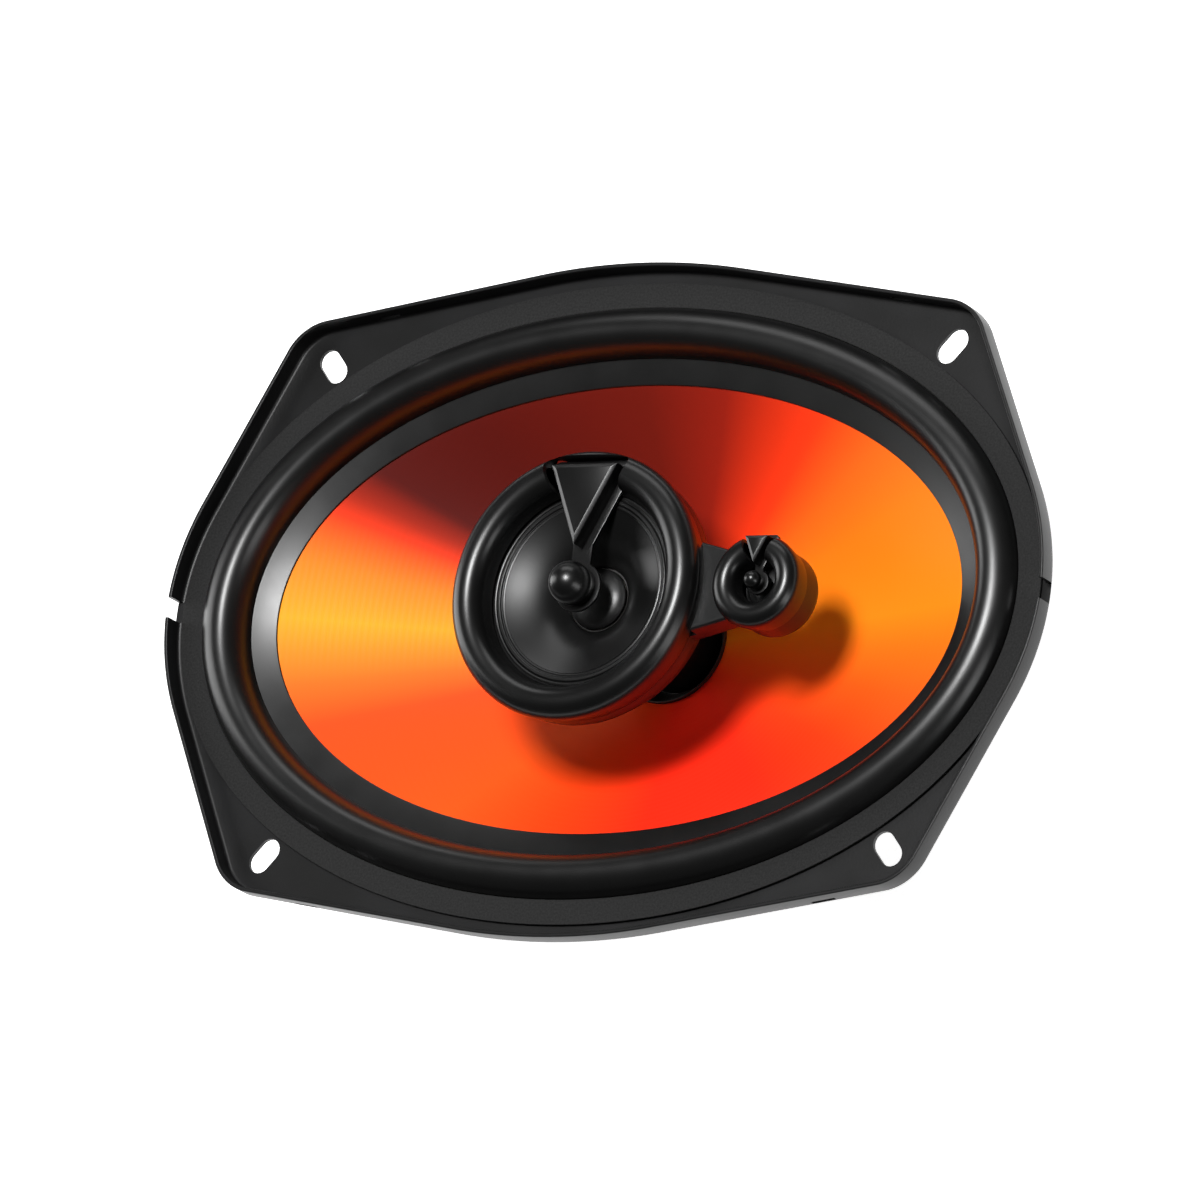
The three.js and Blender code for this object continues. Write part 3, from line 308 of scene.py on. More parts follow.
# %% Node and colour helpers
def add(tree, kind, settings=None, links=None):
    """One node with its settings; links maps an input to a value, an output, or a node's first output."""
    node = tree.nodes.new(kind)
    for name, value in (settings or {}).items():
        setattr(node, name, value)
    for name, value in (links or {}).items():
        if isinstance(value, bpy.types.Node):
            value = value.outputs[0]
        if isinstance(value, bpy.types.NodeSocket):
            tree.links.new(value, node.inputs[name])
        else:
            node.inputs[name].default_value = value
    return node


def linear(code):
    """A hex colour as the linear RGBA that shaders use."""
    channels = [int(code[i:i + 2], 16) / 255 for i in (1, 3, 5)]
    return [c / 12.92 if c <= 0.04045 else ((c + 0.055) / 1.055) ** 2.4 for c in channels] + [1.0]


def new_finish(name, colour, **constants):
    """A material with its shader; constants are the shader's own inputs by name."""
    made = bpy.data.materials.new(name)
    made.use_nodes = True
    tree = made.node_tree
    tree.nodes.clear()
    values = {key.replace("_", " "): value for key, value in constants.items()}
    shader = add(tree, "ShaderNodeBsdfPrincipled", links={"Base Color": linear(colour), **values})
    add(tree, "ShaderNodeOutputMaterial", links={"Surface": shader.outputs["BSDF"]})
    made.diffuse_color = linear(colour)
    return made, tree, shader


def grains(tree, size, detail=2.0, stretch=(1, 1, 1)):
    """Noise whose grains are size millimetres wide, in object coordinates."""
    place = add(tree, "ShaderNodeTexCoord")
    spread = add(tree, "ShaderNodeMapping", links={"Vector": place.outputs["Object"], "Scale": stretch})
    noise = add(tree, "ShaderNodeTexNoise", links={
        "Vector": spread.outputs["Vector"], "Scale": 1 / (size * MM), "Detail": detail})
    return noise.outputs["Fac"]


def shade_between(tree, factor, dark, light, low=0.35, high=0.65):
    """Two colours mixed by a factor."""
    ramp = add(tree, "ShaderNodeValToRGB", links={"Fac": factor})
    first, last = ramp.color_ramp.elements
    first.position, last.position = low, high
    first.color, last.color = linear(dark), linear(light)
    return ramp.outputs["Color"]


def emboss(tree, shader, height, depth):
    """Raises the surface by a height pattern whose full depth is given in millimetres."""
    bump = add(tree, "ShaderNodeBump", links={"Height": height, "Distance": depth * MM})
    tree.links.new(bump.outputs["Normal"], shader.inputs["Normal"])


def patterned(name, colour, tone=None, gloss=None, relief=None, **constants):
    """A finish with up to three noises, each led by its grains: their size, detail and stretch.

    The tone's noise mixes two colours, the gloss's mixes two roughnesses, and the relief's has a depth."""
    made, tree, shader = new_finish(name, colour, **constants)
    if tone:
        mixed = shade_between(tree, grains(tree, *tone[0]), *tone[1:])
        tree.links.new(mixed, shader.inputs["Base Color"])
    if gloss:
        spread = add(tree, "ShaderNodeMapRange", links={
            "Value": grains(tree, *gloss[0]), "To Min": gloss[1], "To Max": gloss[2]})
        tree.links.new(spread.outputs["Result"], shader.inputs["Roughness"])
    if relief:
        emboss(tree, shader, grains(tree, *relief[0]), relief[1])
    return made, tree, shader


# A wave texture's sine runs through this many radians over one of its own units.
WAVE_RADIANS = 20


def ripples(tree, spacing, distortion=0.0, **settings):
    """Even ripples in object coordinates, whose crests are spacing millimetres apart."""
    place = add(tree, "ShaderNodeTexCoord").outputs["Object"]
    return add(tree, "ShaderNodeTexWave", settings, {
        "Vector": place, "Scale": 2 * math.pi / (spacing * MM * WAVE_RADIANS),
        "Distortion": distortion}).outputs["Fac"]


def weave(tree, spacing, distortion=0.0):
    """Threads that cross: the higher of two sets of ripples."""
    warp, weft = (ripples(tree, spacing, distortion, bands_direction=side) for side in ("X", "Y"))
    return add(tree, "ShaderNodeMath", {"operation": "MAXIMUM"}, {0: warp, 1: weft}).outputs[0]


# %% [markdown]
# **Electro-coated steel.** The basket is pressed from steel sheet and dipped in a black electro-coat,
# about 20 micrometres thick. That leaves a satin black with a very fine orange peel, here 0.6 mm wide,
# and slow changes of gloss where the coat drained. The **gasket** is cork and rubber pressed to a card:
# matt, dark grey, with crumbs about half a millimetre wide.

# %% Black steel and gasket
black_steel = patterned(
    "electro_coated_steel", "#0f0f10", ((18,), "#0e0e0e", "#111112"), ((18,), 0.36, 0.46),
    ((0.6,), 0.02), Metallic=0.0, IOR=1.5, Specular_IOR_Level=0.3)[0]
gasket_card = patterned(
    "cork_rubber_card", "#212121", ((0.5, 4), "#1c1c1c", "#262626"), None, ((0.5, 4), 0.08),
    Roughness=0.8, IOR=1.5, Specular_IOR_Level=0.2)[0]
print("made", black_steel.name, "and", gasket_card.name)

# %% [markdown]
# **Butyl rubber.** The surround and the small drivers' rings are moulded rubber. It is smooth and softly
# glossy with a faint mould bloom, so its roughness drifts a little over a centimetre.

# %% Rubber
def moulded_rubber(name, colour, gloss):
    return patterned(name, colour, None, ((9, 3), gloss - 0.04, gloss + 0.06), ((0.35,), 0.006),
                     IOR=1.52, Specular_IOR_Level=0.5)[0]


rubber = moulded_rubber("butyl_rubber", "#0b0b0b", 0.32)
print("made", rubber.name)

# %% [markdown]
# ** The cone's film.** The cone is moulded polypropylene with a metallised film on its front. Its colour
# is a ramp over the direction from the axis alone, from gold on one side through orange to red, nearly
# maroon over the top: the film's own orange, with painted reflections and painted shade on it.
# The film was polished round the cone, which leaves fine rings and stretches its shine across them:
# an anisotropic shine with its tangent round the axis. It carries a clear lacquer, so its shine is soft
# and colourless. Real rings are finer than 0.1 mm; they are drawn about 1.6 mm apart and very shallow.

# %% Metallised cone film with painted reflections
# Tints by angle round the cone, in degrees: the film's orange with painted reflections and painted shade.
PAINTED_REFLECTION_TINTS = {0: "#ff8a18", 30: "#fe7e14", 45: "#fe6815", 58: "#ff3a12", 68: "#d02e12", 76: "#951f11",
         90: "#70190f", 120: "#5c150f", 140: "#5a1510", 147: "#b02810", 152: "#fb3c10",
         165: "#f88410", 180: "#f8a410", 188: "#f88c10", 198: "#f86c10", 210: "#f84a10", 230: "#f84e12",
         245: "#fb5414", 262: "#fc4414", 280: "#fe2c16", 300: "#ff2d17", 318: "#fe3f16",
         335: "#fe5a16", 348: "#fe7217"}


rim_half_width, rim_half_length = 54.6, 92.2


def film_with_painted_reflections():
    made, tree, shader = new_finish("orange_film_painted_reflections", "#ff6a18", Metallic=0.0, IOR=1.5,
                                    Anisotropic=0.45, Specular_IOR_Level=0.12)
    place = add(tree, "ShaderNodeTexCoord").outputs["Object"]
    parts = add(tree, "ShaderNodeSeparateXYZ", links={"Vector": place}).outputs
    # The oval's own angle: the long side is shrunk to the short one before the direction is taken.
    along = add(tree, "ShaderNodeMath", {"operation": "MULTIPLY"},
                {0: parts["X"], 1: rim_half_width / rim_half_length})
    angle = add(tree, "ShaderNodeMath", {"operation": "ARCTAN2"}, {0: parts["Y"], 1: along})
    share = add(tree, "ShaderNodeMath", {"operation": "DIVIDE"}, {0: angle, 1: 2 * math.pi})
    turn = add(tree, "ShaderNodeMath", {"operation": "FRACT"}, {0: share})
    # The ramp is painted reflection and painted shade: gold where a light would glint, maroon where shade
    # falls.
    ramp = add(tree, "ShaderNodeValToRGB", links={"Fac": turn})
    colours = ramp.color_ramp
    for stop in colours.elements:
        stop.color = linear(PAINTED_REFLECTION_TINTS[0])
    for degrees, code in PAINTED_REFLECTION_TINTS.items():
        if degrees > 0:
            colours.elements.new(degrees / 360).color = linear(code)
    tree.links.new(ramp.outputs["Color"], shader.inputs["Base Color"])
    rings = ripples(tree, 1.571, 0.6, wave_type="RINGS", rings_direction="Z")
    gloss = add(tree, "ShaderNodeMapRange", links={"Value": rings, "To Min": 0.48, "To Max": 0.54})
    tree.links.new(gloss.outputs["Result"], shader.inputs["Roughness"])
    round_axis = add(tree, "ShaderNodeTangent", {"direction_type": "RADIAL", "axis": "Z"})
    tree.links.new(round_axis.outputs["Tangent"], shader.inputs["Tangent"])
    emboss(tree, shader, rings, 0.0006)
    return made


cone_film = film_with_painted_reflections()
print("made", cone_film.name, "with", len(PAINTED_REFLECTION_TINTS), "tints")

# %% [markdown]
# **Moulded plastics.** The pods and the pillar are black ABS from a spark-eroded mould: satin, with a
# fine grain. The bezels and the diffusers come from a smoother mould and shine softly. The small cone is
# a smooth polymer film, and the dust ring is felt. The domes are coated silk, whose threads are drawn
# about 2.5 mm apart, far coarser than real silk's.

# %% Black plastics, silk and felt
def moulded_abs(name, colour, gloss, grain, depth):
    return patterned(name, colour, None, ((12,), gloss - 0.03, gloss + 0.04), ((grain,), depth),
                     IOR=1.53, Specular_IOR_Level=0.42)[0]


satin_abs = moulded_abs("satin_black_abs", "#0c0c0c", 0.36, 0.45, 0.012)
bezel_abs = moulded_abs("smooth_black_abs", "#090909", 0.29, 0.8, 0.004)
mid_film = moulded_abs("polymer_film", "#0b0b0b", 0.34, 1.2, 0.004)
silk, tree, shader = new_finish("coated_silk", "#161616", Roughness=0.38, IOR=1.5, Coat_Weight=0.3,
                                Coat_Roughness=0.25)
emboss(tree, shader, weave(tree, 2.513), 0.015)
felt = patterned("wool_felt", "#0f0f0f", ((0.4, 5), "#0a0a0a", "#171717"), None, ((0.4, 5), 0.2),
                 Roughness=0.95, Sheen_Weight=0.4)[0]
print("made", satin_abs.name, bezel_abs.name, mid_film.name, silk.name, felt.name)

# %% [markdown]
# **Metals.** The motor's steel is zinc plated: bright, slightly blue and yellow in patches, with shallow
# turning rings from the lathe, drawn about 3 mm apart. Rivets and the nut share it with a rougher,
# tumbled face. The magnet is sintered ferrite, as dull and dark as slate with ground faces, and the small
# magnets are nickel plated.

# %% Metals and magnet
def plated(name, colour, worn, gloss):
    return patterned(name, colour, ((2.5, 4), worn, colour), ((2.5, 4), gloss, gloss + 0.15),
                     ((0.7,), 0.01), Metallic=1.0)[0]


motor_zinc, tree, shader = patterned(
    "bright_zinc_plate", "#b9bcbe", ((14, 4), "#aeb4ba", "#c3c0b4"), ((3, 4), 0.26, 0.42), Metallic=1.0)
emboss(tree, shader, ripples(tree, 3.142, 0.4, wave_type="RINGS", rings_direction="Z"), 0.01)
rivet_zinc = plated("tumbled_zinc_plate", "#aeb0b1", "#97999a", 0.34)
nickel = plated("nickel_plate", "#a9a6a0", "#989590", 0.22)
tin = plated("tinned_brass", "#cbcac4", "#b3ae9f", 0.25)
tinsel_copper = plated("tinsel_copper", "#c07a45", "#8f4f2a", 0.3)
enamelled_copper = plated("enamelled_copper", "#a8552a", "#8d431f", 0.24)
ferrite = patterned("sintered_ferrite", "#2a2928", ((0.9, 6), "#242322", "#33312f"),
                    ((6,), 0.5, 0.7), ((0.9, 6), 0.05), IOR=1.9)[0]
print("made", motor_zinc.name, ferrite.name, "and five platings")

# %% [markdown]
# **Board, cloth and sleeves.** The terminal board is paper dipped in phenolic resin: brown, with paper
# fibres along it. The spider is cotton cloth dipped in the same resin, a plain weave drawn coarsely, with
# its threads about 5.7 mm apart. The capacitors wear a dark shrink sleeve, the lead has a PVC jacket, and
# the coils' tubes are black polyimide film.

# %% Board, cloth, sleeve, jacket and coil film
paper_fibres, wrinkles = (0.5, 5, (0.25, 1, 1)), (1.6, 3, (1, 0.4, 0.4))
phenolic = patterned("phenolic_paper", "#8a5a2b", (paper_fibres, "#7a4c22", "#98683a"),
                     (paper_fibres, 0.42, 0.55), (paper_fibres, 0.015), IOR=1.6)[0]
cotton, tree, shader = new_finish("dipped_cotton", "#b98a45", Roughness=0.85, Sheen_Weight=0.2)
threads = weave(tree, 5.655, 0.3)
tones = shade_between(tree, threads, "#a17c3e", "#bd9150", 0.1, 0.9)
tree.links.new(tones, shader.inputs["Base Color"])
emboss(tree, shader, threads, 0.03)
sleeve = patterned("shrink_sleeve", "#20242c", None, (wrinkles, 0.3, 0.42), (wrinkles, 0.04),
                   IOR=1.5, Coat_Weight=0.4)[0]
polyimide = patterned("black_polyimide", "#1b1a19", ((4,), "#161514", "#201e1c"),
                      ((4,), 0.35, 0.45), IOR=1.7)[0]
jacket = moulded_rubber("pvc_jacket", "#121212", 0.42)
print("made", phenolic.name, cotton.name, sleeve.name, polyimide.name, jacket.name)

# %% [markdown]
# ## The basket
# The basket is one steel pressing: a floor with the coil's hole, a round cup, a shelf for the spider, a
# slanted oval wall, a short skirt, and a flange with four ears and a turned-up lip. It could be built
# from separate primitives, but a pressing has one thickness and flowing bends, so it is lofted as one
# closed section whose rings change from round to oval to the flange's own outline. The windows are cut
# afterwards and leave eight arms; each arm but the terminal one has a pressed rib that stiffens it.

# %% Basket sizes
sheet = 1.0
flange_half_length, flange_half_width = 118.0, 82.0
flange_back = flange_front - sheet
lip_height = 4.9
oval_stretch = flange_half_length - flange_half_width + 1.6
gasket_outer, gasket_width = 78.0, 6.2
roll_outer = gasket_outer - gasket_width
roll_width, landing_width = 11.2, 6.0
roll_inner = roll_outer - roll_width
cone_rim = roll_inner - landing_width
hole_spacing = (167.7, 120.65)
ear_radius, ear_inset = 13.0, (1.35, 2.8)
slot_width, slot_length, slot_tilt = 5.6, 9.2, math.radians(50)
basket_base = 1000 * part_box("basket")[0].z
basket_floor = basket_base + sheet
cup_radius, cup_flare, shelf_width = 47.5, 1.5, 6.5
shelf_top = basket_floor + 11
shelf_outer = cup_radius + cup_flare + shelf_width
skirt_foot = flange_back - 9
coil_bore, former_wall, winding_wall, floor_clearance = 15.0, 0.3, 0.8, 4.6
floor_hole = coil_bore + former_wall + winding_wall + floor_clearance
arm_width = 16.0
arm_angles = [0, 38, 90, 142, 180, 218, 270, 322]
window_foot, window_head = 0.13, 0.86
basket_around = 512
rib_half, rib_height, rib_ramp = 4.2, 1.5, 0.12
notch_width, notch_reach = 5.0, 5.0
tab_centre, tab_size = (69.5, 69.7), (6.0, 26.0)
print("basket floor at", round(basket_floor, 2), "mm, shelf at", round(shelf_top, 2), "mm")


# %% Basket section
def flange_ring(inset, height, around):
    """The tightest loop round the oval and the four ears, drawn in from its edge."""
    ear_x, ear_y = hole_spacing[0] / 2 - ear_inset[0], hole_spacing[1] / 2 - ear_inset[1]
    ring = []
    for k in range(around):
        facing = 2 * math.pi * k / around
        nx, ny = math.cos(facing), math.sin(facing)
        reach = math.hypot(flange_half_length * nx, flange_half_width * ny)
        corner = (math.copysign(ear_x, nx), math.copysign(ear_y, ny))
        if reach > corner[0] * nx + corner[1] * ny + ear_radius:
            x, y = flange_half_length ** 2 * nx / reach, flange_half_width ** 2 * ny / reach
        else:
            x, y = corner[0] + ear_radius * nx, corner[1] + ear_radius * ny
        ring.append((x - inset * nx, y - inset * ny, height))
    return ring


def wall_station(share, inset=0.0):
    """A point of the slanted wall's outer face: 0 at the shelf, 1 at the skirt."""
    return (shelf_outer + (roll_outer - shelf_outer) * share - inset,
            shelf_top - sheet + (skirt_foot - shelf_top + sheet) * share, oval_stretch * share)


def rib_push(x, y, share):
    """How far an arm's rib stands out of the slanted wall at a point."""
    ends = min(1.0, max(0.0, min(share - 0.04, 0.97 - share) / rib_ramp))
    for degrees in arm_angles:
        if degrees == 270:
            continue
        turn = math.radians(degrees)
        across = abs(-math.sin(turn) * x + math.cos(turn) * y)
        if across < rib_half and math.cos(turn) * x + math.sin(turn) * y > 0:
            return rib_height * ends * 0.5 * (1 + math.cos(math.pi * across / rib_half))
    return 0.0


def wall_rings(shares, inset):
    """Rings of one face of the slanted wall, with the arms' ribs pressed outwards."""
    slope = math.hypot(roll_outer - shelf_outer, skirt_foot - shelf_top)
    out, down = (skirt_foot - shelf_top) / slope, (roll_outer - shelf_outer) / slope
    rings = []
    for share in shares:
        radius, height, stretch = wall_station(share, inset)
        ring = []
        for x, y, z in oval_ring(radius, height, stretch, basket_around):
            push, reach = rib_push(x, y, share), math.hypot(x, y)
            ring.append((x * (1 + push * out / reach), y * (1 + push * out / reach), z - push * down))
        rings.append(ring)
    return rings


def basket_rings():
    """The pressing's section, carried round: up the outside, over the lip and back down the inside."""
    bend, shares = 1.2, [k / 24 for k in range(1, 24)]
    shelf, head = wall_station(0), wall_station(1)
    under = soften([(floor_hole, basket_base, 0), (cup_radius, basket_base, 0),
                    (cup_radius + cup_flare, shelf_top - sheet, 0), shelf,
                    wall_station(0.02)], [0, 3, 2, 0.8, 0])
    skirt_back = soften([wall_station(0.98), head, (roll_outer, flange_back, oval_stretch),
                         (roll_outer + 1.7, flange_back, oval_stretch)], bend)
    lip = soften([(5, flange_back), (0, flange_back), (0, flange_front + lip_height),
                  (sheet, flange_front + lip_height), (sheet, flange_front), (5, flange_front)],
                 [0, 1.6, 0.35, 0.35, 0.9, 0])
    skirt_front = soften([(roll_outer + 1.7, flange_front, oval_stretch),
                          (roll_outer - sheet, flange_front, oval_stretch),
                          (roll_outer - sheet, head[1] + sheet / 2, oval_stretch),
                          wall_station(0.98, sheet)], bend)
    over = soften([wall_station(0.02, sheet), (shelf_outer - sheet / 2, shelf_top, 0),
                   (cup_radius + cup_flare - sheet, shelf_top, 0), (cup_radius - sheet, basket_floor, 0),
                   (floor_hole, basket_floor, 0)], [0, 0.8, 2, 3, 0])
    rings = [oval_ring(*station, basket_around) for station in under]
    rings += wall_rings(shares, 0.0)
    rings += [oval_ring(*station, basket_around) for station in skirt_back]
    rings += [flange_ring(*station, basket_around) for station in lip]
    rings += [oval_ring(*station, basket_around) for station in skirt_front]
    rings += wall_rings(shares[::-1], sheet)
    return rings + [oval_ring(*station, basket_around) for station in over]


basket = new_piece("basket_pressing", *skin(basket_rings()), black_steel)
print("basket section:", len(basket.data.vertices), "points")

# %% [markdown]
# The windows between the arms follow the wall: each is bounded by two ovals and by two straight arm
# sides, with rounded corners. Its outline is drawn as a rounded square in the wall's own measures, the
# share of the height and the share of the way between two arms, and then extruded as a punch would go.

# %% Basket windows
def arm_side(share, degrees, side):
    """The oval's angle where it meets one long side of an arm."""
    radius, _, stretch = wall_station(share)
    turn = math.radians(degrees)
    guess = math.atan2(math.sin(turn) * (radius + stretch), math.cos(turn) * radius)
    low, high = (guess, guess + 1.0) if side > 0 else (guess - 1.0, guess)
    for _ in range(30):
        middle = (low + high) / 2
        x, y = (radius + stretch) * math.cos(middle), radius * math.sin(middle)
        beyond = side * (-math.sin(turn) * x + math.cos(turn) * y) > arm_width / 2
        if beyond == (side > 0):
            high = middle
        else:
            low = middle
    return middle


def window_outline(first, second):
    """The rounded window between two arms, seen along the axis."""
    corner, outline = 0.22, []
    square = soften([(-1, -1), (1, -1), (1, 1), (-1, 1)], 2 * corner, 5, closed=True)
    dense = []
    for a, b in zip(square, square[1:] + square[:1]):
        count = max(1, round(np.linalg.norm(b - a) / 0.12))
        dense += [a + (b - a) * k / count for k in range(count)]
    for across, up in dense:
        share = window_foot + (window_head - window_foot) * (up + 1) / 2
        radius, _, stretch = wall_station(share)
        start, end = arm_side(share, first, 1), arm_side(share, second, -1)
        end += 2 * math.pi if end < start else 0
        angle = start + (end - start) * (across + 1) / 2
        outline.append(((radius + stretch) * math.cos(angle), radius * math.sin(angle)))
    return outline


def slot_outline(side_x, side_y):
    """A slot with round ends, tilted along its ear."""
    half, straight = slot_width / 2, (slot_length - slot_width) / 2
    tilt = Matrix.Rotation(side_x * side_y * slot_tilt, 3, "Z")
    centre = Vector((side_x * hole_spacing[0] / 2, side_y * hole_spacing[1] / 2, 0))
    ends = [(side * straight + x, y) for side in (1, -1)
            for x, y in arc(0, 0, half, -90 * side, 180 - 90 * side, 10)]
    return [(tilt @ Vector((*end, 0)) + centre)[:2] for end in ends]


def basket_punches():
    """What is cut from the pressing: windows, end notches, mounting slots and the ears' shallow tabs."""
    punches = []
    for i, first in enumerate(arm_angles):
        outline = window_outline(first, arm_angles[(i + 1) % len(arm_angles)])
        punches.append(prism("punch", outline, shelf_top - 4, skirt_foot + 3))
    for side_x in (-1, 1):
        x, half = side_x * (flange_half_length + 1), notch_width / 2
        punches.append(block((x - notch_reach, x + notch_reach), (-half, half),
                             (flange_front + 0.02, flange_front + 9)))
        for side_y in (-1, 1):
            outline = slot_outline(side_x, side_y)
            punches.append(prism("punch", outline, flange_back - 2, flange_front + 2))
            x_range, y_range = (
                (side * middle - size / 2, side * middle + size / 2)
                for side, middle, size in zip((side_x, side_y), tab_centre, tab_size))
            punches.append(block(x_range, y_range, (flange_front + 0.5, flange_front + 1.7)))
    return punches


combine(basket, basket_punches(), "DIFFERENCE", 34)
finished(basket, "chassis", "coated_steel", "basket")

# %% [markdown]
# ## Gasket and surround
# The gasket is a flat card ring with a sheared edge. The surround is one rubber moulding with three
# zones: a thin foot glued to the flange under the gasket, a half roll that lets the cone move, and a flat
# landing glued to the cone. Its foot stays with the basket and its landing moves with the cone; a weight
# between them is worked out for every point, but it is not applied.

# %% Gasket and surround
surround_foot, gasket_thickness, surround_wall = 0.4, 0.6, 0.6
roll_height, roll_drop, landing_drop = 5.5, 2.6, 1.6
cone_rim_top = flange_front - roll_drop
gasket_top = flange_front + surround_foot + gasket_thickness

gasket = turned("gasket_card", soften([
    (gasket_outer - gasket_width, flange_front + surround_foot),
    (gasket_outer, flange_front + surround_foot),
    (gasket_outer, gasket_top),
    (gasket_outer - gasket_width + 0.2, gasket_top),
], 0.2, 3, closed=True), gasket_card, stretch=oval_stretch)
finished(gasket, "chassis", "gasket", "gasket_ring")


def short_radius(points, stretch):
    """The short radius of the oval, with a given stretch, that passes through each point."""
    low, high = np.full(len(points), 1e-3), np.full(len(points), 200.0)
    for _ in range(40):
        middle = (low + high) / 2
        inside = np.hypot(points[:, 0] / (middle + stretch), points[:, 1] / middle) < 1
        high, low = np.where(inside, middle, high), np.where(inside, low, middle)
    return middle


def surround_profile():
    """One closed section: the roll's front, the landing, the roll's back and the foot."""
    top = flange_front + surround_foot
    middle, half = (roll_outer + roll_inner) / 2, roll_width / 2
    drop, rise = top - cone_rim_top, roll_height - surround_foot

    def roll(shrink, steps=28):
        line = []
        for k in range(steps + 1):
            angle = math.pi * k / steps
            lean = drop * (1 - math.cos(angle)) / 2
            line.append((middle + (half - shrink) * math.cos(angle),
                         top - lean + (rise + lean - shrink) * math.sin(angle)))
        return line

    front, back = roll(0), roll(surround_wall)[::-1]
    landing_top, landing_back = cone_rim_top - landing_drop, cone_rim_top - surround_foot
    landing = soften([front[-1], (cone_rim, landing_top), (cone_rim, landing_top - surround_foot),
                      (roll_inner - surround_wall, landing_back),
                      (roll_inner + surround_wall, landing_back)], [0, 0.35, 0.1, 0, 0], 4)
    foot = [(roll_outer - surround_wall, flange_front), (gasket_outer - surround_foot, flange_front),
            (gasket_outer - surround_foot, top)]
    return front[:-1] + landing + back[1:-1] + foot


surround = turned("surround_roll", surround_profile(), rubber, stretch=oval_stretch)
across = (roll_outer - short_radius(points_of(surround), oval_stretch)) / roll_width
flexed(surround, "woofer", across, "surround_rubber", "surround")

# %% [markdown]
# ## The cone
# The cone joins a round neck to an oval rim, so its wall is a family of ovals whose stretch grows with
# the radius. A real wall is about 0.8 mm thick and bows a little, which stiffens it. The film covers the
# front only; the back is bare polypropylene, so the faces that look back take a second finish.

# %% Cone
glue_line = 0.1
neck = coil_bore + former_wall + glue_line
neck_lead, cone_wall, cone_bow = 11.2, 0.8, 0.7
neck_top = shelf_top + neck_lead
outer_rim_height = cone_rim_top - surround_foot - glue_line
rim_height = outer_rim_height - landing_drop


def cone_station(share):
    """A point of the cone's bowed front: 0 at the neck, 1 at the rim."""
    bow = cone_bow * math.sin(math.pi * share)
    return (neck + (cone_rim - neck) * share,
            neck_top + (rim_height - neck_top) * share - bow, oval_stretch * share)


front = [(roll_inner - surround_wall, outer_rim_height, oval_stretch)]
front += [cone_station(1 - k / 20) for k in range(20)]
back = [(neck, neck_top - 3 * cone_wall, 0), (neck + cone_wall, neck_top - 3 * cone_wall, 0)]
back += [(radius, height - 1.3 * cone_wall, stretch) for radius, height, stretch in
         (cone_station(k / 20) for k in range(2, 21))]
back += [(roll_inner - surround_wall, outer_rim_height - cone_wall, oval_stretch)]
cone_back = moulded_abs("bare_polypropylene", "#161616", 0.45, 0.5, 0.01)
cone = turned("cone_moulding", soften([*front, (neck, neck_top, 0)], 0.2, 2) + back, cone_film)
cone.data.materials.append(cone_back)
for face in cone.data.polygons:
    face.material_index = 1 if face.normal.z < 0.2 else 0
finished(cone, "woofer", "cone_film", "cone")

# %% [markdown]
# ## Pillar, dust ring and hollow bolt
# The midrange pod stands on a moulded pillar that a hollow bolt clamps to the motor's pole. A felt ring
# keeps dust out of the gap between the pillar and the moving cone. All three are turned from profiles.

# %% Pillar and dust ring
pole_top = basket_floor + 1.0
bolt_radius, bolt_bore, slide_gap = 4.5, 2.6, 0.3
pillar_radius, pillar_foot = 11.0, 13.0
pod_wall, pod_depth, bezel_height = 1.6, 28.0, 14.0
rim_centre = flange_front + bezel_height
pod_foot = rim_centre - pod_depth
bolt_hole = bolt_radius + slide_gap
spigot = bolt_hole + 2 * pod_wall

pillar = turned("pillar_moulding", soften([
    (bolt_hole, pole_top), (pillar_foot, pole_top), (pillar_foot, pole_top + 5),
    (pillar_radius, pole_top + 5 + pillar_foot - pillar_radius), (pillar_radius, pod_foot),
    (spigot, pod_foot), (spigot, pod_foot + pod_wall), (bolt_hole, pod_foot + pod_wall),
], [0, 0.4, 1.2, 1.2, 0.4, 0, 0.2, 0], 5), satin_abs, 128)
finished(pillar, "chassis", "pod_plastic", "pillar")

dust_top = neck_top - 5
dust = tube("dust_felt", pillar_radius + glue_line, coil_bore - slide_gap, dust_top - 4, dust_top, 0.8, 5,
            felt, 128)
finished(dust, "chassis", "felt", "dust_ring")

# %% [markdown]
# ## The pod's shell
# The shell is one moulding: a bowl behind the midrange, a small cup behind the tweeter, and a flat arm
# between them. Each is simple alone, so they are made apart, joined, and then cut to seat the two bezels
# and hollowed, as the mould's cores would do. The arm's sharp edges get a small moulded radius first.

# %% Pod shell
bezel_radius, bezel_tube, bezel_skirt, bezel_wall = 32.5, 4.0, 5.4, 1.5
tweeter_x, tweeter_bezel_radius, tweeter_tube, tweeter_cup_depth = 48.3, 11.2, 3.0, 8.5
shoulder = rim_centre - bezel_skirt
shell_rim = bezel_radius - 0.8 * bezel_wall
bezel_crest = bezel_radius - bezel_tube
cup_foot = shoulder - tweeter_cup_depth
tweeter_cup = tweeter_bezel_radius - 1
arm_front, arm_depth, arm_root, arm_tip = 12.0, 7.0, 10.4, 7.6
bowl_foot = 11.6
tweeter_spot = (tweeter_x, 0)


def bowl_line(inset=0.0):
    """The bowl's outer line, or its hollow's, from the foot to the rim."""
    line = curve_through([(bowl_foot, pod_foot), (0.56 * bezel_radius, pod_foot + 0.16 * pod_depth),
                          (0.82 * bezel_radius, pod_foot + 0.42 * pod_depth), (shell_rim, shoulder - 3)])
    return [(radius - inset, height + 0.4 * inset) for radius, height in line]


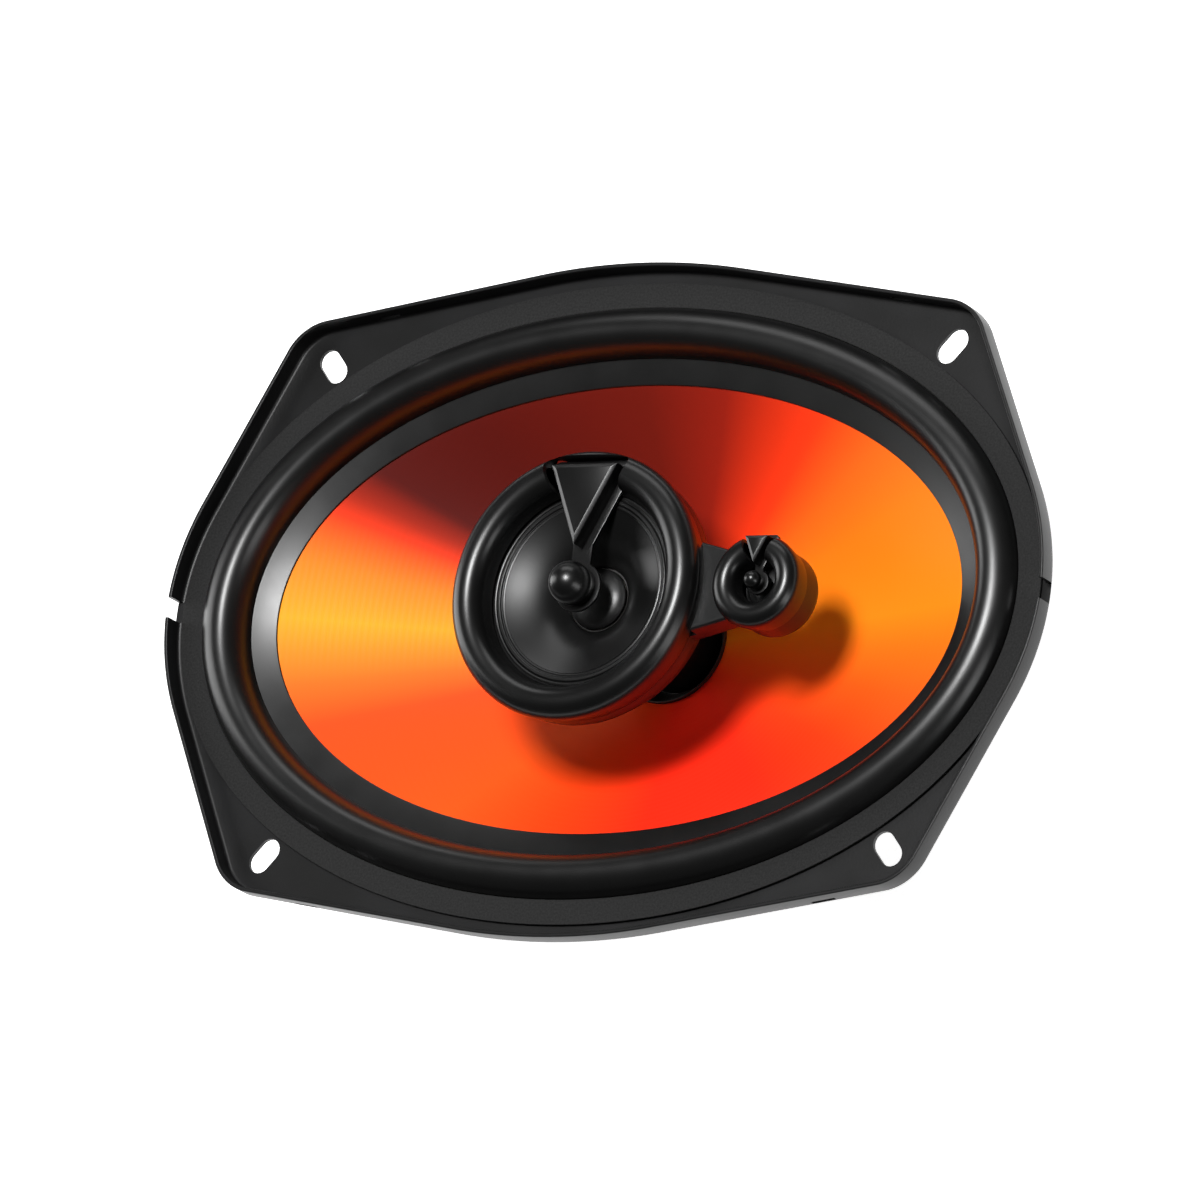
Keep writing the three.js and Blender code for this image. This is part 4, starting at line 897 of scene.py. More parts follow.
def pod_shell_moulding():
    """The bowl, the cup and the arm, joined and hollowed."""
    bowl = turned("pod_moulding", [(0, pod_foot), *bowl_line(), (shell_rim, shoulder), (0, shoulder)],
                  satin_abs, 160)
    cup = turned("cup", soften([(0, cup_foot), (0.75 * tweeter_cup, cup_foot),
                                (tweeter_cup, cup_foot + 0.25 * tweeter_cup_depth),
                                (tweeter_cup, shoulder), (0, shoulder)], [0, 1.5, 2, 0, 0], 5),
                 satin_abs, 96, tweeter_spot)
    front = flange_front + arm_front
    arm = prism("arm", [(bezel_crest, -arm_root - 1), (tweeter_x, -arm_tip + 1.5),
                        (tweeter_x, arm_tip - 1.5), (bezel_crest, arm_root + 1)],
                front - arm_depth, front, satin_abs)
    round_edges(arm, 0.8, 4)
    combine(bowl, [cup, arm], "UNION")
    spigot_top = pod_foot + pod_wall + slide_gap
    cores = [
        disc("core", bezel_radius + slide_gap, shoulder, front + 1, around=160),
        disc("core", tweeter_bezel_radius + slide_gap, shoulder, front + 1, centre=tweeter_spot),
        turned("core", [(0, pod_foot + 2 * pod_wall), *bowl_line(pod_wall)[2:],
                        (shell_rim - pod_wall, shoulder + 1), (0, shoulder + 1)], None, 160),
        disc("core", tweeter_cup - pod_wall, cup_foot + pod_wall, shoulder + 1, centre=tweeter_spot),
        turned("core", [(0, pod_foot - 1), (spigot + slide_gap, pod_foot - 1),
                        (spigot + slide_gap, spigot_top), (2, spigot_top), (2, pod_foot + 8),
                        (0, pod_foot + 8)], None, 64),
    ]
    return combine(bowl, cores, "DIFFERENCE")


finished(pod_shell_moulding(), "chassis", "pod_plastic", "pod_shell")

# %% [markdown]
# ## Bezels and diffusers
# Each pod has a round bezel with a fat, rolled rim and a diffuser: a ball held over the dome by a
# bevelled triangle. The diffuser is a moulding of its own that drops into a pocket in the bezel, which
# leaves a fine shadow gap all round it. The same functions make the large set and the small one.

# %% Bezel and diffuser sizes
pocket_gap = 0.4
mid_set = {"half": 8.95, "top": 28.7, "tip": 9.1, "back": 13.3, "front": 16.9, "bevel": 1.0,
           "ball": 5.1, "ball_height": 16.7, "disc": 6.0, "offset": 1.9, "base": 12.4}
tweeter_set = {"half": 3.1, "top": 10.4, "tip": 3.7, "back": 13.6, "front": 16.4, "bevel": 0.7,
               "ball": 2.1, "ball_height": 15.9, "disc": 2.9, "offset": 1.0, "base": 12.4}


def triangle(form, grow=0.0, corner=0.15, steps=3):
    """The diffuser's triangle, tip down, with each corner rounded; grow offsets its sides outwards."""
    slope = math.atan2(form["half"], form["top"] - form["tip"])
    side, drop = grow / math.cos(slope), grow / math.sin(slope)
    half = form["half"] + side + grow * math.tan(slope)
    corners = [(0, form["tip"] - drop), (half, form["top"] + grow), (-half, form["top"] + grow)]
    return [tuple(p) for p in soften(corners, corner, steps, closed=True)]


def backing_outline(form, offset, steps=6):
    """A line at a steady distance round the triangle, so its corners are arcs."""
    corners = triangle(form, 0, 0, 1)
    outline = []
    for i, corner in enumerate(corners):
        before, after = corners[i - 1], corners[(i + 1) % 3]
        start = math.atan2(corner[1] - before[1], corner[0] - before[0]) - math.pi / 2
        end = math.atan2(after[1] - corner[1], after[0] - corner[0]) - math.pi / 2
        end += 2 * math.pi if end < start else 0
        for k in range(steps + 1):
            angle = start + (end - start) * k / steps
            outline.append((corner[0] + offset * math.cos(angle), corner[1] + offset * math.sin(angle)))
    return outline


def bezel_moulding(name, centre, form, radius, roll, wall, drop, around):
    """A ring with a fat roll of the given radius, thin inside, with the diffuser's pocket cut in it."""
    crest, foot = radius - roll, rim_centre - bezel_skirt + glue_line
    profile = [(radius - 0.8 * wall, foot), *arc(crest, rim_centre, roll, 0, 180, 32),
               (crest - roll - wall / 2, rim_centre - drop), (crest - roll + wall / 2, rim_centre - drop),
               *arc(crest, rim_centre, roll - wall, 180, 0, 16), (radius - 1.8 * wall, foot)]
    bezel = turned(name, profile, bezel_abs, around, centre)
    gap = form["offset"] + pocket_gap
    outline = [(x + centre[0], y) for x, y in backing_outline(form, gap)]
    pocket = prism("pocket", outline, flange_front + form["base"] - pocket_gap, rim_centre + 2 * roll)
    return combine(bezel, [pocket], "DIFFERENCE", 40)


def diffuser_moulding(name, centre, form):
    """A backing plate that joins a bevelled triangle, a short bar, a foot and the ball."""
    base, back = flange_front + form["base"], flange_front + form["back"]
    front, bevel = flange_front + form["front"], form["bevel"]
    plate = prism(name, backing_outline(form, form["offset"]), base, back, bezel_abs)
    round_edges(plate, 0.2, 2)
    rings = [[(x, y, z) for x, y in triangle(form, grow)]
             for grow, z in ((0, back - 0.5), (0, front), (-0.12 * bevel, front + 0.6 * bevel),
                             (-bevel, front + bevel))]
    points, faces = skin(rings, closed=False)
    count = len(rings[0])
    faces += [tuple(range(count)), tuple(range(3 * count, 4 * count))]
    face = new_piece("face", points, faces, bezel_abs)
    round_edges(face, 0.12, 2, 20)
    half = form["ball"] / 2
    neck_bar = block((-half, half), (0, form["tip"] + form["offset"]), (base, back), bezel_abs)
    foot = turned("foot", soften([(0, base), (form["disc"], base), (form["disc"], back), (0, back)],
                                 [0, 0.2, 0.3, 0], 3), bezel_abs, 96)
    ball_foot = 0.9 * form["ball"]
    centre_height = flange_front + form["ball_height"]
    cap = arc(0, centre_height, form["ball"], -25, 90, 24)
    ball = turned("ball", [(0, base), (ball_foot, base), *cap[:-1], (0, cap[-1][1])], bezel_abs, 128)
    combine(plate, [face, neck_bar, foot, ball], "UNION", 25)
    plate.data.transform(Matrix.Translation((centre[0] * MM, 0, 0)))
    return plate


mid_ring_sizes = (bezel_radius, bezel_tube, bezel_wall, 2.2, 256)
tweeter_ring_sizes = (tweeter_bezel_radius, tweeter_tube, 1.0, 1.8, 160)
for title, node, spot, form, sizes in (
        ("midrange", "mid", (0, 0), mid_set, mid_ring_sizes),
        ("small", "tweeter", tweeter_spot, tweeter_set, tweeter_ring_sizes)):
    bezel = bezel_moulding(title + "_bezel", spot, form, *sizes)
    finished(bezel, "chassis", "bezel_plastic", node + "_bezel")
    diffuser = diffuser_moulding(title + "_diffuser", spot, form)
    finished(diffuser, "chassis", "bezel_plastic", node + "_diffuser")

# %% [markdown]
# ## The midrange driver
# Behind the ball sits a complete small speaker: a moulded frame, a film cone hung on a rubber ring with
# two fine ridges, a silk dome over its coil, and a steel cup with a magnet inside. The cone, dome and
# coil move together by half a millimetre, so the ring between them and the frame would stretch as the
# big surround would; its weights are worked out, but not applied.

# %% Midrange driver
mid_cone_radius, mid_cone_height = 20.4, 11.4
mid_dome_radius, mid_dome_height, mid_dome_rise = 7.3, 3.2, 2.5
mid_surround_width, mid_wall, mid_cup_radius, mid_cup_height = 3.0, 0.5, 12.0, 8.5
mid_gap, mid_winding = 0.6, 0.4
mid_cone_top, mid_dome_top = flange_front + mid_cone_height, flange_front + mid_dome_height
mid_frame_rim = mid_cone_radius + mid_surround_width
mid_pole = mid_dome_radius - mid_gap
mid_cup_bore = mid_dome_radius + mid_wall + mid_winding + mid_gap
mid_cup_base = pod_foot + 2 * pod_wall + glue_line
mid_cup_top = mid_cup_base + mid_cup_height
mid_seat = mid_cup_radius + glue_line
under_ring = mid_cone_top - mid_wall

mid_frame = turned("midrange_frame", soften([
    (mid_frame_rim - 2, under_ring), (mid_frame_rim + 1.4, under_ring),
    (mid_frame_rim + 1.4, under_ring - 1.2), (mid_frame_rim - 0.8, under_ring - 1.8),
    (mid_seat + 1.2, mid_cup_top), (mid_seat + 1.2, mid_cup_top - 3), (mid_seat, mid_cup_top - 3),
    (mid_seat, mid_cup_top + 0.6), (mid_frame_rim - 2, under_ring - 1.6),
], 0.3, 2, closed=True), satin_abs, 160)
finished(mid_frame, "chassis", "pod_plastic", "mid_frame")

neck_radius = mid_dome_radius + mid_wall + glue_line
bend = (mid_dome_radius + (mid_cone_radius - mid_dome_radius) * 0.42,
        mid_dome_top + (mid_cone_height - mid_dome_height) * 0.55)
cone_line = curve_through([(mid_cone_radius, mid_cone_top), bend, (neck_radius, mid_dome_top)], 14)
hidden_line = [(r + 0.3 * mid_wall, z - 1.3 * mid_wall) for r, z in cone_line[::-1]]
hidden_line[0] = (neck_radius, mid_dome_top - 2 * mid_wall)
mid_cone = turned("midrange_cone", [*cone_line, *hidden_line[:-1],
                                    (mid_cone_radius, mid_cone_top - 1.4 * mid_wall)], mid_film, 192)
finished(mid_cone, "midrange", "mid_cone_film", "mid_cone")


def dome(name, radius, height, rise, wall, finish, centre=(0, 0), around=128):
    """A dome whose edge meets its coil squarely: a quarter of an ellipse, turned."""
    steps = 16
    turns = [math.pi / 2 * k / steps for k in range(steps + 1)]
    line = [(radius * math.sin(turn), height + rise * math.cos(turn)) for turn in turns]
    under = [(r * (radius - wall) / radius, z - wall) for r, z in line[::-1]]
    return turned(name, line + under, finish, around, centre)


mid_dome = dome("midrange_dome", mid_dome_radius, mid_dome_top, mid_dome_rise, mid_wall, silk)
finished(mid_dome, "midrange", "small_dome", "mid_dome")

ring_in, ring_out = mid_cone_radius + glue_line, mid_frame_rim
ridge = [(ring_in + (ring_out - ring_in) * k / 32,
          mid_cone_top + 0.4 * math.sin(math.pi * min(1, max(0, (k / 32 - 0.2) / 0.6))) ** 2
          + 0.12 * math.sin(4 * math.pi * k / 32) ** 2) for k in range(33)]
mid_ring = turned("midrange_surround", ridge + [(r, z - mid_wall) for r, z in ridge[::-1]], rubber, 192)
reach = np.hypot(*points_of(mid_ring)[:, :2].T)
flexed(mid_ring, "midrange", (ring_out - reach) / (ring_out - ring_in),
       "surround_rubber", "mid_surround")


def motor_cup(name, outer, inner, base, top, floor_wall, centre=(0, 0)):
    return turned(name, soften([(0, base), (outer, base), (outer, top), (inner, top),
                                (inner, base + floor_wall), (0, base + floor_wall)],
                               [0, 0.8, 0.4, 0.2, 0.4, 0], 3), motor_zinc, 128, centre)


finished(motor_cup("midrange_cup", mid_cup_radius, mid_cup_bore, mid_cup_base, mid_cup_top, 2),
         "chassis", "zinc_plate", "mid_motor_cup")
finished(disc("midrange_magnet", mid_pole - 0.5, mid_cup_base + 2, mid_cup_top - 2, 0.4, nickel),
         "chassis", "neodymium", "mid_magnet")
finished(disc("midrange_pole", mid_pole, mid_cup_top - 2, mid_cup_top, 0.3, motor_zinc),
         "chassis", "zinc_plate", "mid_pole_plate")
finished(tube("midrange_coil_tube", mid_dome_radius, mid_dome_radius + mid_wall, mid_cup_top - 4.5,
              mid_dome_top - mid_wall - glue_line, 0.2 * mid_wall, 2, polyimide, 128),
         "midrange", "coil_former", "mid_coil_former")

# %% [markdown]
# ## The small tweeter
# The tweeter repeats the layout on a smaller scale: a faceplate, a silk dome with its own rolled ring, a
# coil, a magnet and a cup.

# %% Small tweeter
dome_radius, dome_rise, dome_ring = 4.6, 1.6, 1.1
dome_height = flange_front + 9.0
tweeter_coil = dome_radius - 0.6
motor_base = cup_foot + pod_wall + glue_line
motor_top = dome_height - 2.2

plate_in, plate_out = dome_radius + 0.5, tweeter_cup - pod_wall - slide_gap
faceplate = turned("small_faceplate", soften([
    (plate_in, dome_height - 0.4), (plate_out, dome_height - 0.4), (plate_out, motor_top + glue_line),
    (plate_in + 0.5, motor_top + glue_line)], 0.3, 3, closed=True), satin_abs, 96, tweeter_spot)
finished(faceplate, "chassis", "pod_plastic", "tweeter_faceplate")
small_dome = dome("small_dome", dome_radius, dome_height, dome_rise, 0.4, silk, tweeter_spot, 96)
finished(small_dome, "tweeter", "small_dome", "tweeter_dome")

ring_in, ring_out = dome_radius + glue_line, dome_radius + glue_line + dome_ring
ridge = [(ring_in + (ring_out - ring_in) * k / 12, dome_height + 0.5 * math.sin(math.pi * k / 12))
         for k in range(13)]
small_ring = turned("small_surround", ridge + [(r, z - 0.4) for r, z in ridge[::-1]], rubber, 96,
                    tweeter_spot)
from_axis = points_of(small_ring) - (tweeter_x, 0, 0)
reach = np.hypot(from_axis[:, 0], from_axis[:, 1])
flexed(small_ring, "tweeter", (ring_out - reach) / (ring_out - ring_in),
       "surround_rubber", "tweeter_surround")

finished(motor_cup("small_cup", tweeter_coil + 2.6, tweeter_coil + 0.9, motor_base, motor_top, 1.2,
                   tweeter_spot), "chassis", "zinc_plate", "tweeter_motor_cup")
finished(disc("small_magnet", tweeter_coil - 0.9, motor_base + 1.2, motor_top, 0.3, nickel,
              centre=tweeter_spot), "chassis", "neodymium", "tweeter_magnet")

# %% [markdown]
# ## The motor
# A thick yoke with the pole in its middle, the ferrite ring and the top plate make the magnetic circuit.
# All three are turned; the yoke's rear face has a counterbore for the pillar's nut and a channel that
# lets the lead reach the hollow bolt, both cut with booleans.

# %% Yoke, magnet and top plate
yoke_radius, yoke_thickness, magnet_radius, magnet_height = 43.5, 6.0, 45.0, 17.0
winding_radius = coil_bore + former_wall + winding_wall
plate_bore = winding_radius + 0.8
pole_radius = coil_bore - 0.8
magnet_base, plate_base = yoke_thickness, yoke_thickness + magnet_height
bolt_end, nut_height, washer_height, counterbore = 3.9, 4.0, 0.8, 9.5
counterbore_depth = bolt_end + nut_height + washer_height
lead_radius = 1.1

yoke = turned("yoke_forging", soften([
    (bolt_hole, 0), (yoke_radius - 1.5, 0), (yoke_radius, 1.5), (yoke_radius, yoke_thickness),
    (pole_radius, yoke_thickness), (pole_radius, pole_top), (bolt_hole, pole_top)],
    [0, 0.6, 0.6, 0.4, 0.8, 0.6, 0], 4), motor_zinc)
channel = block((-lead_radius - 0.5, lead_radius + 0.5), (-2 * yoke_radius, 0), (-1, bolt_end))
combine(yoke, [disc("pocket", counterbore, -1, counterbore_depth), channel], "DIFFERENCE")
finished(yoke, "chassis", "zinc_plate", "yoke")

magnet_bore = plate_bore + 7
magnet = tube("magnet_ring", magnet_bore, magnet_radius, magnet_base, plate_base, 1.0, 2, ferrite)
finished(magnet, "chassis", "ferrite", "magnet")
top_plate = tube("top_plate_disc", plate_bore, yoke_radius, plate_base, basket_base, 0.5, 3, motor_zinc)
finished(top_plate, "chassis", "zinc_plate", "top_plate")

# %% [markdown]
# ## Geometry Nodes for what repeats
# Rivets on a circle, the spider's waves, the turns of a coil and the strands of a lead all follow a rule,
# so each is grown by a small node tree.

# %% Tree helpers
def start_tree(name, inputs):
    """A geometry tree with named inputs; returns the tree and a table of its input sockets."""
    tree = bpy.data.node_groups.new(name, "GeometryNodeTree")
    face = tree.interface
    face.new_socket("Geometry", in_out="INPUT", socket_type="NodeSocketGeometry")
    for title, kind in inputs.items():
        face.new_socket(title, in_out="INPUT", socket_type="NodeSocket" + kind)
    face.new_socket("Geometry", in_out="OUTPUT", socket_type="NodeSocketGeometry")
    return tree, add(tree, "NodeGroupInput").outputs


def end_tree(tree, given, geometry):
    """Realises the instances, sets the finish and closes the tree."""
    real = add(tree, "GeometryNodeRealizeInstances", links={"Geometry": geometry})
    painted = add(tree, "GeometryNodeSetMaterial", links={"Geometry": real, "Material": given["Finish"]})
    add(tree, "NodeGroupOutput", links={"Geometry": painted})
    return tree


def grow(tree, name, base, values):
    """Runs a tree on a base object and returns its result as a plain mesh of its own."""
    step = base.modifiers.new("grow", "NODES")
    step.node_group = tree
    names = {item.name: item.identifier for item in tree.interface.items_tree if item.in_out == "INPUT"}
    for title, value in values.items():
        step[names[title]] = value
    graph = bpy.context.evaluated_depsgraph_get()
    mesh = bpy.data.meshes.new_from_object(base.evaluated_get(graph), depsgraph=graph)
    old = base.data
    bpy.data.objects.remove(base)
    bpy.data.meshes.remove(old)
    mesh.name = name
    smooth_by_angle(mesh)
    piece = bpy.data.objects.new(name, mesh)
    bpy.context.scene.collection.objects.link(piece)
    return piece


def path_object(points):
    """A line of edges for a tree to follow."""
    mesh = bpy.data.meshes.new("path")
    edges = [(k, k + 1) for k in range(len(points) - 1)]
    mesh.from_pydata([Vector(p) * MM for p in points], edges, [])
    line = bpy.data.objects.new("path", mesh)
    bpy.context.scene.collection.objects.link(line)
    return line


# %% [markdown]
# **Rivets.** Four rivets hold the basket to the top plate. One is turned as a profile, a shank with a
# domed head, and the tree puts a copy on each point of a circle.

# %% Rivet tree and basket rivets
def rivet_tree():
    """Copies of the base piece on a circle, half a step round from +X."""
    tree, given = start_tree("rivet_circle", {"Count": "Int", "Circle": "Float", "Finish": "Material"})
    circle = add(tree, "GeometryNodeMeshCircle", links={
        "Vertices": given["Count"], "Radius": given["Circle"]})
    half_step = add(tree, "ShaderNodeMath", {"operation": "DIVIDE"}, {0: math.pi, 1: given["Count"]})
    turn = add(tree, "ShaderNodeCombineXYZ", links={"Z": half_step})
    spots = add(tree, "GeometryNodeTransform", links={"Geometry": circle, "Rotation": turn})
    return end_tree(tree, given, add(tree, "GeometryNodeInstanceOnPoints", links={
        "Points": spots, "Instance": given["Geometry"]}))


def rivet_profile(height, head, rise, shank, grip):
    """A domed head on a shank, standing on a height."""
    crown = [(head * math.cos(a), height + 0.25 + (rise - 0.25) * math.sin(a))
             for a in (math.pi / 2 * k / 8 for k in range(9))]
    return [(0, height - grip), (shank, height - grip), (shank, height), (head, height), *crown[:-1],
            (0, crown[-1][1])]


rivet_count, rivet_circle, rivet_radius = 4, 34.0, 2.0
one_rivet = turned("rivet", rivet_profile(basket_floor, 3.6, 1.2, rivet_radius - slide_gap,
                                          sheet + 6 - slide_gap), rivet_zinc, 32)
rivets = grow(rivet_tree(), "basket_rivets", one_rivet,
              {"Count": rivet_count, "Circle": rivet_circle * MM, "Finish": rivet_zinc})
finished(rivets, "chassis", "rivet_steel", *["basket_rivet_%d" % (i + 1) for i in range(rivet_count)])

# %% [markdown]
# **Spider.** The spider centres the coil. It is a disc of resin-dipped cotton pressed into rings of waves
# between a flat collar and a flat rim, so its height is a sine of the radius. The tree bends a flat grid
# into that disc, joins its seam, and gives the cloth its thickness.

# %% Spider tree and spider
def spider_tree():
    """A flat grid bent to a disc: X becomes the radius and Y the turn, and the height is a sine of X."""
    sizes = ("Collar", "Wave Start", "Wave End", "Rim", "Wave Height", "Height", "Thickness")
    tree, given = start_tree("pressed_spider", {
        **{title: "Float" for title in sizes}, "Waves": "Int", "Finish": "Material"})
    grid = add(tree, "GeometryNodeMeshGrid", links={
        "Size X": 1.0, "Size Y": 1.0, "Vertices X": 110, "Vertices Y": 193})
    place = add(tree, "ShaderNodeSeparateXYZ", links={
        "Vector": add(tree, "GeometryNodeInputPosition")}).outputs
    radius = add(tree, "ShaderNodeMapRange", links={
        "Value": place["X"], "From Min": -0.5, "From Max": 0.5, "To Min": given["Collar"],
        "To Max": given["Rim"]})
    phase = add(tree, "ShaderNodeMapRange", links={
        "Value": radius, "From Min": given["Wave Start"], "From Max": given["Wave End"]})
    waves = add(tree, "ShaderNodeMath", {"operation": "MULTIPLY"}, {0: phase, 1: given["Waves"]})
    angle = add(tree, "ShaderNodeMath", {"operation": "MULTIPLY"}, {0: waves, 1: 2 * math.pi})
    sine = add(tree, "ShaderNodeMath", {"operation": "SINE"}, {0: angle})
    height = add(tree, "ShaderNodeMath", {"operation": "MULTIPLY_ADD"}, {
        0: sine, 1: given["Wave Height"], 2: given["Height"]})
    turn = add(tree, "ShaderNodeMath", {"operation": "MULTIPLY"}, {0: place["Y"], 1: 2 * math.pi})
    spot = add(tree, "ShaderNodeCombineXYZ", links={"Z": height})
    for axis, side in (("X", "COSINE"), ("Y", "SINE")):
        part = add(tree, "ShaderNodeMath", {"operation": side}, {0: turn})
        out = add(tree, "ShaderNodeMath", {"operation": "MULTIPLY"}, {0: radius, 1: part})
        tree.links.new(out.outputs[0], spot.inputs[axis])
    bent = add(tree, "GeometryNodeSetPosition", links={"Geometry": grid, "Position": spot})
    seamless = add(tree, "GeometryNodeMergeByDistance", links={"Geometry": bent, "Distance": 1e-6})
    lift = add(tree, "ShaderNodeCombineXYZ", links={"Z": given["Thickness"]})
    raised = add(tree, "GeometryNodeExtrudeMesh", links={
        "Mesh": seamless, "Offset": lift, "Offset Scale": 1.0, "Individual": False})
    under = add(tree, "GeometryNodeFlipFaces", links={"Mesh": seamless})
    both = add(tree, "GeometryNodeJoinGeometry")
    for face in (raised, under):
        tree.links.new(face.outputs[0], both.inputs[0])
    return end_tree(tree, given, add(tree, "GeometryNodeMergeByDistance", links={
        "Geometry": both, "Distance": 1e-6}))


spider_in = coil_bore + former_wall + glue_line
spider_start, spider_end, spider_out = spider_in + 3, cup_radius - sheet, shelf_outer - sheet
spider = grow(spider_tree(), "spider_cloth", path_object([(0, 0, 0), (0, 0, 1)]), {
    "Collar": spider_in * MM, "Wave Start": spider_start * MM, "Wave End": spider_end * MM,
    "Rim": spider_out * MM, "Wave Height": 1.3 * MM, "Height": shelf_top * MM, "Thickness": 0.6 * MM,
    "Waves": 5, "Finish": cotton})
reach = np.hypot(*points_of(spider)[:, :2].T)
flexed(spider, "woofer", (spider_end - reach) / (spider_end - spider_start), "spider_cloth", "spider")

# %% [markdown]
# **Coils.** A voice coil is enamelled wire wound side by side on a thin tube. A helix node gives the line
# of the wire, and a small circle is swept along it. The real wire is 0.25 mm thick; here it is as thick
# as the winding's wall, so that the turns can be seen.

# %% Winding tree and coils
def winding_tree():
    """A round wire swept along a helix."""
    sizes = ("Turns", "Radius", "Wire Radius", "Height", "Base", "Shift")
    tree, given = start_tree("coil_winding", {
        **{title: "Float" for title in sizes}, "Finish": "Material"})
    helix = add(tree, "GeometryNodeCurveSpiral", links={
        "Resolution": 64, "Rotations": given["Turns"], "Start Radius": given["Radius"],
        "End Radius": given["Radius"], "Height": given["Height"]})
    wire = add(tree, "GeometryNodeCurvePrimitiveCircle", links={
        "Resolution": 8, "Radius": given["Wire Radius"]})
    swept = add(tree, "GeometryNodeCurveToMesh", links={
        "Curve": helix, "Profile Curve": wire, "Fill Caps": True})
    spot = add(tree, "ShaderNodeCombineXYZ", links={"X": given["Shift"], "Z": given["Base"]})
    return end_tree(tree, given, add(tree, "GeometryNodeTransform", links={
        "Geometry": swept, "Translation": spot}))


coil_tree = winding_tree()


def winding(name, inner, wall, base, top, shift=0.0):
    """Close-wound turns that fill a wall between two radii and two heights."""
    wire = wall / 2
    turns = round((top - base) / wall) - 1
    return grow(coil_tree, name, path_object([(0, 0, 0), (0, 0, 1)]), {
        "Turns": float(turns), "Radius": (inner + wire) * MM, "Wire Radius": 0.98 * wire * MM,
        "Height": (top - base - wall) * MM, "Base": (base + wire) * MM, "Shift": shift * MM,
        "Finish": enamelled_copper})


coil_middle = plate_base + 3
coil_foot = coil_middle - 7
finished(tube("coil_tube", coil_bore, coil_bore + former_wall, coil_foot - 2, neck_top + 1,
              0.2 * former_wall, 2, polyimide, 160), "woofer", "coil_former", "voice_coil_former")
finished(winding("coil_wire", coil_bore + former_wall + glue_line / 2, winding_wall - glue_line / 2,
                 coil_foot, coil_foot + 14), "woofer", "copper_wire", "voice_coil_winding")
finished(winding("midrange_coil_wire", mid_dome_radius + mid_wall + glue_line / 2,
                 mid_winding - glue_line / 2, mid_cup_top - 4, mid_cup_top),
         "midrange", "copper_wire", "mid_coil_winding")
finished(winding("small_coil_wire", tweeter_coil, 0.4, motor_top - 1.6, dome_height - 0.5, tweeter_x),
         "tweeter", "copper_wire", "tweeter_coil")

# %% [markdown]
# ## Bolt, nut and washer
# The hollow bolt clamps pillar and motor. Its rear end carries a rolled thread, drawn as close rings of
# crests 0.9 mm apart, and the nut's corners are chamfered as they are on any turned nut.

# %% Bolt, nut and washer
bolt_top = pole_top + 15
crests, pitch, thread_depth = 11, 0.9, 0.45
thread = []
for k in range(crests):
    thread += [(bolt_radius - thread_depth, bolt_end + pitch * k + 0.15),
               (bolt_radius - 0.02, bolt_end + pitch * (k + 0.6))]
bolt_tip = soften([(bolt_radius, bolt_top - 1), (bolt_radius, bolt_top), (bolt_bore, bolt_top)], 0.4, 3)
shank_start = (bolt_radius, bolt_end + pitch * crests + 0.4)
bolt = turned("hollow_bolt", [(bolt_bore, bolt_end), *thread, shank_start, *bolt_tip], motor_zinc, 96)
finished(bolt, "chassis", "zinc_plate", "pillar_bolt")

nut_corner, nut_face = 8.0, 7.0
nut_top = bolt_end + nut_height
hexagon = [(nut_corner * math.cos(turn), nut_corner * math.sin(turn))
           for turn in (math.pi / 3 * k for k in range(6))]
nut = prism("clamp_nut", hexagon, bolt_end, nut_top, rivet_zinc)
chamfer = turned("chamfer", [(0, bolt_end), (nut_face, bolt_end), (nut_corner + 0.1, bolt_end + 0.7),
                             (nut_corner + 0.1, nut_top - 0.7), (nut_face, nut_top), (0, nut_top)],
                 rivet_zinc, 96)
combine(nut, [chamfer], "INTERSECT", 24)
combine(nut, [disc("bore", bolt_hole, bolt_end - 1, nut_top + 1)], "DIFFERENCE", 24)
finished(nut, "chassis", "zinc_plate", "pillar_nut")
washer = tube("clamp_washer", bolt_hole, counterbore - slide_gap, nut_top, counterbore_depth, 0.2, 2,
              rivet_zinc, 96)
finished(washer, "chassis", "zinc_plate", "pillar_washer")

# %% [markdown]
# ## Terminals
# A phenolic board is riveted to the outside of one side arm. Two tin-plated blades of unequal width, so
# that the connector fits one way only, are riveted to it, and the two crossover capacitors hang behind
# it. All of it is made flat and then laid on the slanted wall by one placing matrix.

# %% Terminal board
board_reach, board_middle, _ = wall_station(0.5)
wall_lean = math.atan2(roll_outer - shelf_outer, skirt_foot - shelf_top + sheet)
on_board = Matrix.Translation(Vector((0, -board_reach, board_middle)) * MM) @ Matrix.Rotation(
    math.pi / 2 + wall_lean, 4, "X")
board_length, board_width, board_thickness, seat_gap = 40.0, 22.0, 1.6, 0.3
blade_thickness, blade_length, blade_spacing, blade_rivet_up = 0.8, 24.0, 24.0, 4.0
blade_root_extra, coined_end_top, blade_hole = 0.1, 1.0, 1.4
board_rivet_up = 7
board_face = 2 * seat_gap + board_thickness
blade_face = board_face + blade_thickness + blade_root_extra + seat_gap

half, rise, corner = board_length / 2, board_width / 2, 2.0
outline = soften([(-half, -rise), (half, -rise), (half, rise), (-half, rise)], corner, 5, closed=True)
board = prism("board_sheet", outline, seat_gap, seat_gap + board_thickness, phenolic)
holes = [disc("hole", rivet_radius, -1, 9, around=32, centre=(0, up))
         for up in (-board_rivet_up, board_rivet_up)]
holes += [disc("hole", blade_hole, -1, 9, around=32, centre=(side * blade_spacing / 2, blade_rivet_up))
          for side in (-1, 1)]
combine(board, holes, "DIFFERENCE")
round_edges(board, 0.15, 2, 60)
board.data.transform(on_board)
finished(board, "chassis", "phenolic_board", "terminal_board")


